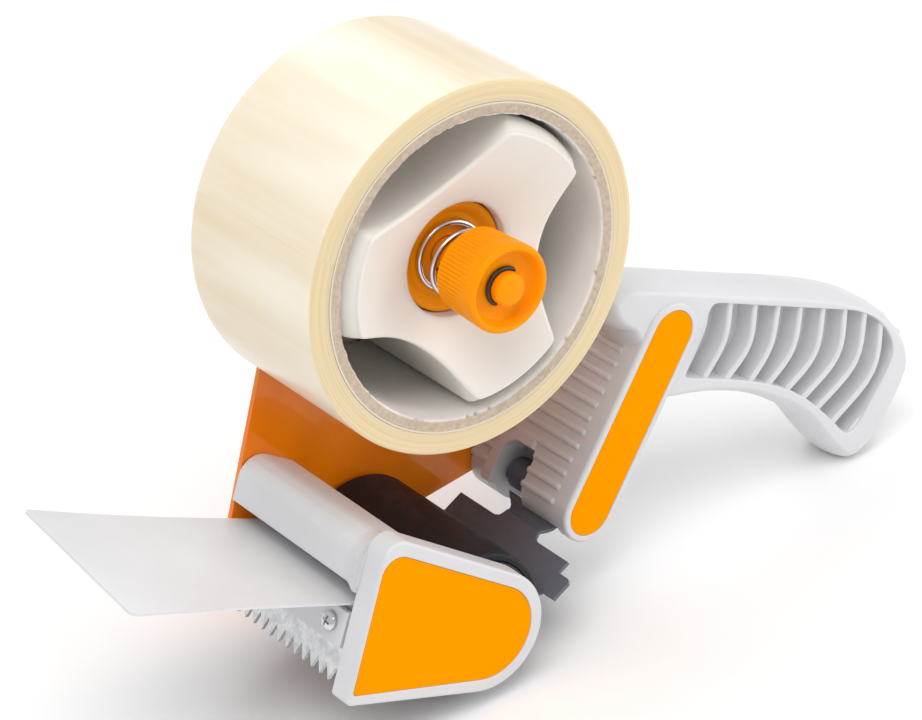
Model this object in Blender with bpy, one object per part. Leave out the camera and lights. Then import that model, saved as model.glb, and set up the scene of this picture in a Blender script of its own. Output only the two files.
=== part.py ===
"""Hand-held packing tape dispenser: side plate, guard, roller, grip, hub with a tension knob, roll of tape.

The design frame has the roll's axis along Y through its origin, +X to the rear, where the grip is, and
+Z up with the top of the grip level. Dimensions are in millimetres there. The empty "dispenser" tilts
the whole tool back until it stands on its roller and on the butt of the grip.
"""
import math

import bmesh
import bpy
from mathutils import Vector

MM = 0.001
GAP = 0.3                      # kept between pieces that touch

# Tape: 50 mm wide on a 76 mm (3 inch) core.
TAPE_WIDTH = 50.0
CORE_BORE_R = 38.1
CORE_R = 41.4
TAPE_R = 47.0

# Side plate, on the far side of the roll.
PLATE_T = 1.5
PLATE_Y = 27.0                 # inner face
PLATE_BACK = PLATE_Y + PLATE_T
PLATE_BOSS_R = 23.0

# Hub and what clamps it on the spindle.
LOBE_R = 36.8
LOBE_COUNT = 3
LOBE_TURN = 70.2               # degrees, centre of the first lobe
LOBE_HALF_ANGLE = 21.6
SCALLOP_R = 22.3               # waist between the lobes
HUB_RIM_Y = -26.2              # the near face is dished: highest round the lobes' rim
HUB_RIM_R = 34.4
HUB_TAPER_Y = -21.5            # where the lobes reach their full radius
HUB_DISH_Y = -18.3             # at the mouth of the pocket
HUB_BACK_Y = 24.6
HUB_POCKET_R = 14.4
HUB_POCKET_Y = -12.3
FLANGE_R = 43.0
FRICTION_R = 16.4
SPINDLE_R = 5.0
THREAD_R = 4.1
GROOVE_R = 3.4                 # groove of the clip at the spindle's end
SPINDLE_END_Y = -39.6
WASHER_R = 14.0
WASHER_FACE_Y = -15.6
WASHER_DISH_Y = -13.6
KNOB_FACE_Y = -38.5
KNOB_BACK_Y = -24.4
KNOB_R = 11.2
KNOB_DISH_R = 9.4
KNOB_DISH_Y = -35.4
KNOB_CAVITY_R = 9.6
KNOB_CAVITY_Y = -33.6
SEAT_Y = -32.6
SPRING_R = 8.5
SPRING_WIRE_R = 0.78
SPRING_TURNS = 3

# Roller that presses the tape down.
ROLLER_X = 31.0
ROLLER_Z = -91.5
ROLLER_R = 18.7
ROLLER_NEAR_Y = -25.2
ROLLER_FAR_Y = 26.2
SLEEVE_T = 1.8
AXLE_R = 3.0

# Guard: bar over the blade, near cheek and the shelf that holds the wiper and the blade.
GUARD_FAR_Y = PLATE_Y - GAP
CHEEK_NEAR_Y = -33.5
CHEEK_FAR_Y = -26.0
BAR_FRONT_X = -12.0
BAR_TOP_Z = -66.6
BAR_BOTTOM_Z = -80.5
BAR_REAR_X = 4.5
SHELF_X = -7.4
SHELF_BOTTOM_Z = -97.0

# Wiper, blade and the strip that clamps the blade.
WIPER_Z = -85.2
WIPER_T = 0.8
WIPER_ROOT_X = 0.9
WIPER_TIP_X = -74.5
WIPER_HALF_WIDTH = 25.4
BLADE_T = 1.0
BLADE_TIP_Z = -106.9
BLADE_TOP_Z = -89.0
BLADE_HALF_WIDTH = 25.1
TOOTH_PITCH = 3.6
TOOTH_HEIGHT = 4.0
CLAMP_T = 1.6
CLAMP_TOP_Z = -87.8
CLAMP_BOTTOM_Z = -97.2
BLADE_SCREW_Y = 19.5
BLADE_SCREW_Z = -92.2

# Handle: a column of pill-shaped section on the plate, and the grip behind it.
COLUMN_LOW = (70.7, -67.4)
COLUMN_HIGH = (81.7, -18.2)
COLUMN_R = 8.4
LABEL_R = 6.4
COLUMN_NEAR_Y = -13.0
RIB_COUNT = 13
RIB_DEPTH = 1.6
RIB_NEAR_Y = -6.0
GRIP_TOP_Z = -5.4
GRIP_NEAR_Y = -12.2
GRIP_FAR_Y = 6.2
GRIP_EDGE = 3.4                # how far the grip's rounded edges fall away on its faces
GRIP_RECESS_DEPTH = 6.5
BUTT = (164.289, -52.807)      # where it meets the ground

# Retainer flap, its pin and its spring.
PIN_X = 69.1
PIN_Z = -67.6
PIN_R = 1.6
POCKET_R = 6.2
POCKET_NEAR_Y = -9.0
POCKET_FAR_Y = 16.5
MOUTH_NEAR_Y = 5.3             # where the pocket opens through the ribbed face
WALL_OUT = 4.7                 # back of that face nearer than this, from the column's middle
FLAP_T = 1.0
FLAP_HALF_WIDTH = 22.5
TAB_HALF_WIDTH = 27.5
NECK_NEAR_Y = -8.0
NECK_FAR_Y = 6.0
TORSION_R = 4.0
TORSION_WIRE_R = 0.36
TORSION_TURNS = 12

# How the tool stands: tilted until the roller and the butt touch the ground together.
REACH = math.hypot(BUTT[0] - ROLLER_X, BUTT[1] - ROLLER_Z)
SLOPE = math.atan2(BUTT[1] - ROLLER_Z, BUTT[0] - ROLLER_X)
TILT = SLOPE + math.asin(ROLLER_R / REACH)
AXIS_HEIGHT = ROLLER_R + math.sin(TILT) * ROLLER_X - math.cos(TILT) * ROLLER_Z
AXIS_X = -23.65                # puts the origin under the middle of the whole length
AXIS_Y = 3.5                   # and of the whole width


# ---------------------------------------------------------------- materials

def material(name, colour, roughness, metallic=0.0):
    made = bpy.data.materials.new(name)
    made.use_nodes = True
    shader = made.node_tree.nodes["Principled BSDF"]
    shader.inputs["Base Color"].default_value = (*colour, 1.0)
    shader.inputs["Roughness"].default_value = roughness
    shader.inputs["Metallic"].default_value = metallic
    return made


# ---------------------------------------------------------------- outlines in the XZ plane

def on_circle(centre, radius, degrees):
    turn = math.radians(degrees)
    return (centre[0] + radius * math.cos(turn), centre[1] + radius * math.sin(turn))


def arc(centre, radius, start, end, steps):
    return [on_circle(centre, radius, start + (end - start) * i / steps) for i in range(steps + 1)]


def rounded(corners, steps=5):
    """Outline through (x, z, radius) corners, each turned into an arc of that radius."""
    points = []
    for i, (x, z, radius) in enumerate(corners):
        here = Vector((x, z))
        if radius == 0:
            points.append((x, z))
            continue
        before = (Vector(corners[i - 1][:2]) - here).normalized()
        after = (Vector(corners[(i + 1) % len(corners)][:2]) - here).normalized()
        half = math.acos(max(-1.0, min(1.0, before.dot(after)))) / 2
        centre = here + (before + after).normalized() * radius / math.sin(half)
        start = here + before * radius / math.tan(half) - centre
        end = here + after * radius / math.tan(half) - centre
        for step in range(steps + 1):
            spoke = start.slerp(end, step / steps).normalized()
            points.append(tuple(centre + spoke * radius))
    return points


def smooth_through(points, steps):
    """Catmull-Rom curve from the second point to the last but one."""
    curve = []
    for a, b, c, d in zip(points, points[1:], points[2:], points[3:]):
        for step in range(steps):
            t = step / steps
            weights = (-t + 2 * t**2 - t**3, 2 - 5 * t**2 + 3 * t**3, t + 4 * t**2 - 3 * t**3, t**3 - t**2)
            curve.append(tuple(sum(w * p[k] for w, p in zip(weights, (a, b, c, d))) / 2 for k in (0, 1)))
    curve.append(points[-2])
    return curve


def pill(low, high, radius, steps=10):
    """Stadium around the line from low to high."""
    lean = math.degrees(math.atan2(high[1] - low[1], high[0] - low[0]))
    return arc(high, radius, lean - 90, lean + 90, steps) + arc(low, radius, lean + 90, lean + 270, steps)


# ---------------------------------------------------------------- solids

def finish(name, bm, at, look, helper=False):
    """Turns millimetres in the design frame into an object whose origin is at (x, y, z)."""
    bmesh.ops.remove_doubles(bm, verts=bm.verts, dist=1e-5)
    bmesh.ops.recalc_face_normals(bm, faces=bm.faces)
    for vert in bm.verts:
        vert.co = (vert.co - Vector(at)) * MM
    mesh = bpy.data.meshes.new(name)
    bm.to_mesh(mesh)
    bm.free()
    made = bpy.data.objects.new(name, mesh)
    bpy.context.scene.collection.objects.link(made)
    made.parent = stand
    made.location = Vector(at) * MM
    if helper:
        made.hide_render = True
        made.display_type = "WIRE"
        return made
    mesh.materials.append(look)
    mesh.shade_smooth()
    mesh.set_sharp_from_angle(angle=math.radians(30))
    return made


def prism(name, outline, near, far, look=None, at=(0, 0, 0), helper=False):
    """An XZ outline extruded along Y."""
    bm = bmesh.new()
    face = bm.faces.new([bm.verts.new((x, near, z)) for x, z in outline])
    moved = bmesh.ops.extrude_face_region(bm, geom=[face])["geom"]
    bmesh.ops.translate(bm, vec=(0, far - near, 0), verts=[v for v in moved if isinstance(v, bmesh.types.BMVert)])
    return finish(name, bm, at, look, helper)


def sheet(name, outline, section, thickness, look=None, at=(0, 0, 0), helper=False):
    """A plate of one thickness: outline gives (along, y), section maps along to (x, z) of its mid plane."""
    bm = bmesh.new()
    sides = []
    for side in (-thickness / 2, thickness / 2):
        verts = []
        for along, y in outline:
            x, z, nx, nz = section(along)
            verts.append(bm.verts.new((x + nx * side, y, z + nz * side)))
        sides.append(verts)
    bm.faces.new(sides[0])
    bm.faces.new(sides[1][::-1])
    for i in range(len(outline)):
        j = (i + 1) % len(outline)
        bm.faces.new((sides[0][i], sides[0][j], sides[1][j], sides[1][i]))
    return finish(name, bm, at, look, helper)


def turned(name, profile, look=None, centre=(0, 0), steps=32, at=(0, 0, 0), helper=False):
    """A closed (radius, y) profile turned about the Y axis through centre."""
    bm = bmesh.new()
    rings = []
    for radius, y in profile:
        if radius == 0:
            rings.append([bm.verts.new((centre[0], y, centre[1]))] * steps)
        else:
            around = [on_circle(centre, radius, 360 * i / steps) for i in range(steps)]
            rings.append([bm.verts.new((x, y, z)) for x, z in around])
    for k, ring in enumerate(rings):
        following = rings[(k + 1) % len(rings)]
        if profile[k][0] == 0 and profile[(k + 1) % len(profile)][0] == 0:
            continue
        for i in range(steps):
            j = (i + 1) % steps
            corners = list(dict.fromkeys((ring[i], ring[j], following[j], following[i])))
            bm.faces.new(corners)
    return finish(name, bm, at, look, helper)


def tube(name, path, radius, look, at=(0, 0, 0), sides=8):
    """Round wire along a path of points, with flat ends."""
    bm = bmesh.new()
    rings = []
    for i, here in enumerate(path):
        ahead = (path[min(i + 1, len(path) - 1)] - path[max(i - 1, 0)]).normalized()
        across = ahead.cross(Vector((0.31, 0.12, 0.94))).normalized() if not rings else None
        if across is None:
            across = (frame_across - ahead * frame_across.dot(ahead)).normalized()
        frame_across = across
        up = ahead.cross(across)
        ring = []
        for k in range(sides):
            turn = 2 * math.pi * k / sides
            ring.append(bm.verts.new(here + (across * math.cos(turn) + up * math.sin(turn)) * radius))
        rings.append(ring)
    for one, two in zip(rings, rings[1:]):
        for k in range(sides):
            m = (k + 1) % sides
            bm.faces.new((one[k], one[m], two[m], two[k]))
    bm.faces.new(rings[0])
    bm.faces.new(rings[-1][::-1])
    return finish(name, bm, at, look)


def boolean(target, other, operation):
    step = target.modifiers.new(other.name, "BOOLEAN")
    step.operation = operation
    step.object = other


def cut(target, *cutters):
    for cutter in cutters:
        boolean(target, cutter, "DIFFERENCE")


def join(target, *others):
    for other in others:
        boolean(target, other, "UNION")


def rod(name, centre, radius, near, far, look=None, steps=24, helper=False):
    return turned(name, [(0, near), (radius, near), (radius, far), (0, far)], look, centre, steps, helper=helper)


def hole(target, centre, radius, near, far):
    cutter = rod(f"{target.name}_hole_{len(target.modifiers)}", centre, radius, near, far, helper=True)
    cut(target, cutter)


def pan_screw(name, centre, head_y, shank_r, shank_end_y, head_r, look):
    """Screw along Y, its domed head on the +Y side of head_y, with a cross recess."""
    head = 0.8 * shank_r
    profile = [
        (0, shank_end_y), (shank_r, shank_end_y), (shank_r, head_y), (head_r, head_y),
        (head_r, head_y + 0.5 * head), (0.7 * head_r, head_y + 1.2 * head), (0, head_y + 1.4 * head),
    ]
    made = turned(name, profile, look, centre, steps=24)
    arm, half = 0.55 * head_r, 0.12 * head_r
    top = head_y + 2 * head
    for turn, (dx, dz) in enumerate(((arm, half), (half, arm))):
        box = [(centre[0] + sx * dx, centre[1] + sz * dz) for sx, sz in ((-1, -1), (1, -1), (1, 1), (-1, 1))]
        cut(made, prism(f"{name}_recess_{turn}", box, head_y + 0.5 * head, top, helper=True))
    return made


# ---------------------------------------------------------------- the pieces

def make_side_plate(look):
    outline = (
        arc((0, 0), PLATE_BOSS_R, 150, 82, 8)
        + rounded([
            (84, -8, 6), (91, -17, 5), (80, -68, 6), (64.5, -72, 3), (48.5, -81.3, 4), (44.5, -98, 9),
            (34, -107.5, 9), (-14.5, -108.2, 3),
        ])
        + [(-14.5, -30), (-19.9, 11.5)]
    )
    plate = prism("side_plate", outline, PLATE_Y, PLATE_BACK, look)
    hole(plate, (0, 0), 2.9, PLATE_Y - 1, PLATE_BACK + 1)
    hole(plate, (ROLLER_X, ROLLER_Z), AXLE_R + GAP, PLATE_Y - 1, PLATE_BACK + 1)
    for centre in HANDLE_SCREWS + GUARD_SCREWS:
        hole(plate, centre, 2.0, PLATE_Y - 1, PLATE_BACK + 1)


def lobed_outline():
    """Lobes on the tape core's radius, with a waist cut in between by one arc each."""
    spacing = 360 / LOBE_COUNT
    points = []
    for lobe in range(LOBE_COUNT):
        middle = LOBE_TURN + lobe * spacing
        points += arc((0, 0), LOBE_R, middle - LOBE_HALF_ANGLE, middle + LOBE_HALF_ANGLE, 8)
        # The scallop's circle passes through both lobe corners and the waist point between them.
        half = math.radians(spacing / 2 - LOBE_HALF_ANGLE)
        chord, depth = LOBE_R * math.sin(half), LOBE_R * math.cos(half) - SCALLOP_R
        scallop_r = (chord**2 + depth**2) / (2 * depth)
        centre = on_circle((0, 0), SCALLOP_R + scallop_r, middle + spacing / 2)
        sweep = math.degrees(math.asin(min(1.0, chord / scallop_r)))
        away = middle + spacing / 2 + 180
        points += arc(centre, scallop_r, away + sweep, away - sweep, 10)[1:-1]
    return points


def make_hub(look):
    hub = prism("hub", lobed_outline(), HUB_RIM_Y, 26.0, look)
    flange = turned("hub_flange", [(20, 25.4), (FLANGE_R, 25.4), (FLANGE_R, 26.4), (20, 26.4)], helper=True)
    join(hub, flange)
    taper = (LOBE_R - HUB_RIM_R) / (HUB_TAPER_Y - HUB_RIM_Y)
    cut(hub, turned("hub_taper", [
        (HUB_RIM_R - taper, HUB_RIM_Y - 1), (60, HUB_RIM_Y - 1), (60, HUB_TAPER_Y + 1), (LOBE_R + taper, HUB_TAPER_Y + 1),
    ], steps=90, helper=True))
    mouth_r, dish_r = HUB_POCKET_R + 0.4, HUB_RIM_R - 0.5
    slope = (HUB_RIM_Y - HUB_DISH_Y) / (dish_r - mouth_r)
    cut(hub, turned("hub_dish", [
        (0, HUB_RIM_Y - 10), (50, HUB_RIM_Y - 10), (50, HUB_DISH_Y + slope * (50 - mouth_r)), (mouth_r, HUB_DISH_Y),
        (0, HUB_DISH_Y),
    ], steps=90, helper=True))
    hole(hub, (0, 0), SPINDLE_R + GAP, HUB_RIM_Y - 5, 30)
    hole(hub, (0, 0), HUB_POCKET_R, HUB_RIM_Y - 5, HUB_POCKET_Y)
    hole(hub, (0, 0), FRICTION_R + 2 * GAP, HUB_BACK_Y, 30)


def make_spindle_parts(orange, steel, black):
    groove_near, groove_far = -36.4, -35.6
    foot_r, foot_y = SPINDLE_R + 3, HUB_BACK_Y + 2 * GAP
    spindle = turned("spindle", [
        (0, PLATE_Y - GAP), (foot_r, PLATE_Y - GAP), (foot_r, foot_y), (SPINDLE_R, foot_y),
        (SPINDLE_R, -11.6), (THREAD_R, -12.5), (THREAD_R, groove_far), (GROOVE_R, groove_far),
        (GROOVE_R, groove_near), (THREAD_R, groove_near), (THREAD_R, SPINDLE_END_Y + 0.9),
        (0.7 * THREAD_R, SPINDLE_END_Y + 0.2), (0, SPINDLE_END_Y),
    ], orange)
    hole(spindle, (0, 0), 2.3 + GAP, 12.0, PLATE_BACK)
    pan_screw("spindle_screw", (0, 0), PLATE_BACK + GAP, 2.3, 13.0, 5.2, steel)
    turned("friction_washer", [
        (foot_r + 0.4, HUB_BACK_Y + GAP), (FRICTION_R, HUB_BACK_Y + GAP), (FRICTION_R, PLATE_Y - 0.4),
        (foot_r + 0.4, PLATE_Y - 0.4),
    ], black)
    turned("pressure_washer", [
        (4.6, HUB_POCKET_Y - GAP), (WASHER_R - 0.7, HUB_POCKET_Y - GAP), (WASHER_R, HUB_POCKET_Y - 0.9),
        (WASHER_R, WASHER_FACE_Y), (WASHER_R - 1.4, WASHER_FACE_Y), (10.4, WASHER_DISH_Y), (4.6, WASHER_DISH_Y),
    ], orange)
    turned("spring_seat", [(4.7, SEAT_Y), (9.2, SEAT_Y), (9.2, SEAT_Y - 0.7), (4.7, SEAT_Y - 0.7)], steel)
    turned("knob", [
        (THREAD_R + GAP, KNOB_DISH_Y), (KNOB_DISH_R - 1.0, KNOB_DISH_Y), (KNOB_DISH_R, KNOB_FACE_Y + 0.8),
        (KNOB_DISH_R + 0.5, KNOB_FACE_Y), (KNOB_R - 0.7, KNOB_FACE_Y), (KNOB_R, KNOB_FACE_Y + 0.7),
        (KNOB_R - 0.4, KNOB_BACK_Y), (KNOB_CAVITY_R, KNOB_BACK_Y), (KNOB_CAVITY_R, KNOB_CAVITY_Y),
        (THREAD_R + GAP, KNOB_CAVITY_Y),
    ], orange)
    ring = arc((0, 0), 5.1, 40, 320, 18) + arc((0, 0), GROOVE_R + GAP, 320, 40, 18)
    prism("spindle_clip", ring, -36.25, -35.75, steel)
    start, end = WASHER_DISH_Y - GAP - SPRING_WIRE_R, SEAT_Y + GAP + SPRING_WIRE_R
    path = []
    per_turn = 16
    for i in range(SPRING_TURNS * per_turn + 1):
        turn = 2 * math.pi * i / per_turn
        y = start + (end - start) * i / (SPRING_TURNS * per_turn)
        path.append(Vector((SPRING_R * math.cos(turn), y, SPRING_R * math.sin(turn))))
    tube("tension_spring", path, SPRING_WIRE_R, steel)


def make_tape(card, film):
    half = TAPE_WIDTH / 2
    turned("tape_core", [(CORE_BORE_R, half), (CORE_R, half), (CORE_R, -half), (CORE_BORE_R, -half)], card, steps=72)
    inner = CORE_R + GAP
    turned("tape_roll", [(inner, half), (TAPE_R, half), (TAPE_R, -half), (inner, -half)], film, steps=72)


def make_roller(rubber, plastic, steel):
    centre = (ROLLER_X, ROLLER_Z)
    at = (ROLLER_X, 0, ROLLER_Z)
    near, far = ROLLER_NEAR_Y, ROLLER_FAR_Y
    inner = ROLLER_R - SLEEVE_T
    turned("roller_sleeve", [(inner, far), (ROLLER_R, far), (ROLLER_R, near), (inner, near)],
           rubber, centre, 48, at)
    drum = inner - GAP
    shell = drum - 2.2
    hub_r, web = 6.0, 1.5
    turned("roller_core", [
        (AXLE_R + GAP, far - 0.4), (hub_r, far - 0.4), (hub_r, web), (shell, web), (shell, far), (drum, far),
        (drum, near), (shell, near), (shell, -web), (hub_r, -web), (hub_r, near + 0.4), (AXLE_R + GAP, near + 0.4),
    ], plastic, centre, 40, at)
    axle_end = CHEEK_NEAR_Y + 2.5
    turned("roller_axle", [
        (0, 32.6), (2.2, 32.6), (2.2, PLATE_Y - 0.2), (AXLE_R, PLATE_Y - 0.2), (AXLE_R, axle_end), (0, axle_end),
    ][::-1], steel, centre, 24)
    hexagon = [on_circle(centre, 4.6, 60 * i) for i in range(6)]
    nut = prism("roller_axle_nut", hexagon, PLATE_BACK + GAP, PLATE_BACK + 3.4, steel)
    hole(nut, centre, 2.5, PLATE_BACK, PLATE_BACK + 5)


def cheek_outline(inset=0.0, front=0.0):
    """Outline of the guard's near cheek: straight front, round rear over the roller."""
    rear = [(x, z, 0) for x, z in arc((28.5, -90.5), 16.1 - inset, 77.5, -86.0, 14)]
    return rounded([(-11.5 + front, -64.2 - 1.13 * inset, 5.0)] + rear + [(-10.6 + front, -108.7 + 0.8 * inset, 1.2)])


def make_guard(grey):
    section = rounded([
        (BAR_FRONT_X, BAR_BOTTOM_Z, 0), (BAR_FRONT_X, BAR_TOP_Z, 6.0), (BAR_REAR_X, BAR_TOP_Z - 3.2, 1.5),
        (BAR_REAR_X, -89.6, 0), (SHELF_X + 2.5, -89.6, 0), (SHELF_X + 2.5, SHELF_BOTTOM_Z, 0),
        (SHELF_X, SHELF_BOTTOM_Z, 0), (SHELF_X, -87.4, 0), (1.5, -86.0, 0), (1.5, -84.2, 0),
        (-3.0, -84.2, 0), (-3.0, BAR_BOTTOM_Z, 0),
    ])
    guard = prism("guard", section, CHEEK_FAR_Y - 1, GUARD_FAR_Y, grey)
    cheek = prism("guard_cheek", cheek_outline(), CHEEK_NEAR_Y, CHEEK_FAR_Y, helper=True)
    join(guard, cheek)
    recess = prism("guard_label_recess", cheek_outline(3.5, 0.7), CHEEK_NEAR_Y - 1, CHEEK_NEAR_Y + 0.8, helper=True)
    cut(guard, recess)
    hole(guard, (ROLLER_X, ROLLER_Z), AXLE_R + GAP, CHEEK_NEAR_Y + 2.2, CHEEK_FAR_Y + 1)
    for centre in GUARD_SCREWS:
        hole(guard, centre, 1.8, GUARD_FAR_Y - 11, GUARD_FAR_Y + 1)
    for side in (-1, 1):
        name = f"guard_blade_hole_{side + 1}"
        cut(guard, along_x(name, side * BLADE_SCREW_Y, BLADE_SCREW_Z, 1.7, SHELF_X - 2, SHELF_X + 4, helper=True))


def along_x(name, y, z, radius, front, rear, look=None, profile=None, helper=False):
    """A rod, or a (radius, x) profile, turned about a line along X."""
    profile = profile or [(0, front), (radius, front), (radius, rear), (0, rear)]
    steps = 20
    bm = bmesh.new()
    rings = []
    for r, x in profile:
        if r == 0:
            rings.append([bm.verts.new((x, y, z))] * steps)
        else:
            around = [on_circle((y, z), r, 360 * i / steps) for i in range(steps)]
            rings.append([bm.verts.new((x, py, pz)) for py, pz in around])
    for ring, following in zip(rings, rings[1:]):
        for i in range(steps):
            j = (i + 1) % steps
            bm.faces.new(list(dict.fromkeys((ring[i], ring[j], following[j], following[i]))))
    return finish(name, bm, (0, 0, 0), look, helper)


def make_blade(steel, grey):
    blade_x = SHELF_X - GAP - BLADE_T / 2
    clamp_x = blade_x - BLADE_T / 2 - GAP - CLAMP_T / 2
    root_z = BLADE_TIP_Z + TOOTH_HEIGHT
    outline = [(BLADE_TOP_Z, -BLADE_HALF_WIDTH), (BLADE_TOP_Z, BLADE_HALF_WIDTH)]
    teeth = int(2 * BLADE_HALF_WIDTH / TOOTH_PITCH)
    edge = teeth * TOOTH_PITCH / 2
    outline.append((root_z, BLADE_HALF_WIDTH))
    for tooth in range(teeth):
        y = edge - tooth * TOOTH_PITCH
        outline += [(root_z, y), (BLADE_TIP_Z, y - TOOTH_PITCH / 2)]
    outline += [(root_z, -edge), (root_z, -BLADE_HALF_WIDTH)]
    blade = sheet("blade", outline, lambda z: (blade_x, z, 1, 0), BLADE_T, steel)
    strip = [(z, side * BLADE_HALF_WIDTH) for z, side in
             ((CLAMP_TOP_Z, -1), (CLAMP_TOP_Z, 1), (CLAMP_BOTTOM_Z, 1), (CLAMP_BOTTOM_Z, -1))]
    clamp = sheet("blade_clamp", strip, lambda z: (clamp_x, z, 1, 0), CLAMP_T, grey)
    head_x = clamp_x - CLAMP_T / 2 - GAP
    for side, name in ((-1, "blade_screw_near"), (1, "blade_screw_far")):
        y = side * BLADE_SCREW_Y
        for target in (blade, clamp):
            cut(target, along_x(f"{target.name}_{name}", y, BLADE_SCREW_Z, 1.7, -15, 0, helper=True))
        screw = along_x(name, y, BLADE_SCREW_Z, 0, 0, 0, look=steel, profile=[
            (0, head_x - 1.5), (1.6, head_x - 1.3), (2.5, head_x - 0.6), (2.5, head_x), (1.3, head_x),
            (1.3, SHELF_X + 2.2), (0, SHELF_X + 2.2),
        ])
        for turn, (dy, dz) in enumerate(((1.5, 0.32), (0.32, 1.5))):
            box = [(BLADE_SCREW_Z - dz, y - dy), (BLADE_SCREW_Z - dz, y + dy),
                   (BLADE_SCREW_Z + dz, y + dy), (BLADE_SCREW_Z + dz, y - dy)]
            slot = sheet(f"{name}_recess_{turn}", box, lambda z: (head_x - 1.6, z, 1, 0), 1.6, helper=True)
            cut(screw, slot)


def make_wiper(look):
    corner = 2.0
    outline = []
    for x, y, start in ((WIPER_TIP_X, WIPER_HALF_WIDTH, 90), (WIPER_TIP_X, -WIPER_HALF_WIDTH, 180)):
        centre = (x + corner, y - math.copysign(corner, y))
        outline += arc(centre, corner, start, start + 90, 5)
    outline += [(WIPER_ROOT_X, -WIPER_HALF_WIDTH), (WIPER_ROOT_X, WIPER_HALF_WIDTH)]
    sheet("wiper", outline, lambda x: (x, WIPER_Z, 0, 1), WIPER_T, look, at=(WIPER_ROOT_X, 0, WIPER_Z))


def grip_outline():
    """Side view of the grip at its middle: nose over the ribs, level top, hooked butt, finger curve."""
    return smooth_through([
        (76, -24), (69, -20.6), (62.0, -17.2), (58.3, -11.6), (62.6, -6.8), (72, GRIP_TOP_Z), (100, GRIP_TOP_Z),
        (134, GRIP_TOP_Z), (152, -7.6), (166, -13.4), (174, -22.0), (174.6, -31.0), (171.6, -42.0),
        (168.6, -49.0), (161.6, -53.6), (151.8, -49.4), (138.0, -40.8), (119, -36.0), (102, -35.6), (84, -37.4),
        (76, -30), (74, -20),
    ], 3)


def offset(outline, distance):
    """The outline moved inwards by a distance that is small against its bends."""
    moved = []
    for i, here in enumerate(outline):
        before, after = Vector(outline[i - 1]), Vector(outline[(i + 1) % len(outline)])
        along = (after - before).normalized()
        moved.append((here[0] + along.y * distance, here[1] - along.x * distance))
    return moved


def crowned(name, outline, near, far, edge, look=None, helper=False, layers=8):
    """An outline extruded along Y whose rim falls away elliptically by edge towards both faces."""
    bm = bmesh.new()
    rings = []
    middle, half = (near + far) / 2, (far - near) / 2
    for layer in range(layers + 1):
        turn = math.pi * layer / layers
        y = middle - half * math.cos(turn)
        ring = offset(outline, edge * (1 - math.sin(turn)))
        rings.append([bm.verts.new((x, y, z)) for x, z in ring])
    for one, two in zip(rings, rings[1:]):
        for i in range(len(outline)):
            j = (i + 1) % len(outline)
            bm.faces.new((one[i], one[j], two[j], two[i]))
    bm.faces.new(rings[0])
    bm.faces.new(rings[-1][::-1])
    return finish(name, bm, (0, 0, 0), look, helper)


def grip_recess():
    """The hollow in each side of the grip, inside an even rim."""
    rear = smooth_through([
        (130, -9.7), (146, -9.9), (156, -12.2), (163.0, -16.9), (166.0, -23), (163.0, -35.0), (158.6, -45.0),
        (149, -40.6), (137, -34.9), (124, -31.6), (108, -30.4), (90.8, -30.4), (70, -30.6),
    ], 4)
    return [(93.4, -9.7)] + rear


def column_grooves():
    """Everything in front of the column's ribbed face, whose ribs run across the tool."""
    low, high = Vector(COLUMN_LOW), Vector(COLUMN_HIGH)
    length = (high - low).length
    lean = (high - low) / length
    out = Vector((-lean.y, lean.x))
    per_rib = 6
    points = []
    for i in range(RIB_COUNT * per_rib + 1):
        wave = 0.5 - 0.5 * math.cos(2 * math.pi * i / per_rib)
        depth = 0.15 + RIB_DEPTH * math.sqrt(wave)
        along = -2.0 + length * i / (RIB_COUNT * per_rib)
        points.append(tuple(low + lean * along + out * (COLUMN_R - depth)))
    points += [tuple(high + out * (COLUMN_R + 5)), tuple(low - lean * 2 + out * (COLUMN_R + 5))]
    return points


def make_handle(grey):
    handle = prism("handle", pill(COLUMN_LOW, COLUMN_HIGH, COLUMN_R), COLUMN_NEAR_Y, PLATE_Y - GAP, grey)
    grip = crowned("handle_grip", grip_outline(), GRIP_NEAR_Y, GRIP_FAR_Y, GRIP_EDGE, helper=True)
    join(handle, grip)
    near_floor = GRIP_NEAR_Y + GRIP_RECESS_DEPTH
    far_floor = GRIP_FAR_Y - GRIP_RECESS_DEPTH
    cut(handle, prism("grip_recess_near", grip_recess(), GRIP_NEAR_Y - 2, near_floor, helper=True))
    cut(handle, prism("grip_recess_far", grip_recess(), far_floor, GRIP_FAR_Y + 2, helper=True))
    cut(handle, prism("handle_label_recess", pill(COLUMN_LOW, COLUMN_HIGH, LABEL_R),
                      COLUMN_NEAR_Y - 1, COLUMN_NEAR_Y + 0.8, helper=True))
    cut(handle, prism("handle_grooves", column_grooves(), RIB_NEAR_Y, PLATE_Y + 1, helper=True))
    # Chamber for the flap's neck and spring, open below, with a mouth through the ribbed face in front of the spring.
    low, high = Vector(COLUMN_LOW), Vector(COLUMN_HIGH)
    lean = (high - low).normalized()
    out = Vector((-lean.y, lean.x))

    def across(places):
        return [tuple(low + lean * along + out * outward) for along, outward in places]

    crown = arc((-0.55, 1.5), POCKET_R, -90, 31, 8)
    cut(handle, prism("handle_chamber", across([(-16, -4.7)] + crown + [(3.2, WALL_OUT), (-16, WALL_OUT)]),
                      POCKET_NEAR_Y, POCKET_FAR_Y, helper=True))
    cut(handle, prism("handle_mouth", across([(7.6, 11), (5.9, 3.2), (3.0, 0), (-14, 0), (-14, 11)]),
                      MOUTH_NEAR_Y, POCKET_FAR_Y, helper=True))
    hole(handle, (PIN_X, PIN_Z), PIN_R + GAP, -11.5, 20.5)
    for centre in HANDLE_SCREWS:
        hole(handle, centre, 2.0, PLATE_Y - 12, PLATE_Y + 1)


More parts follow.
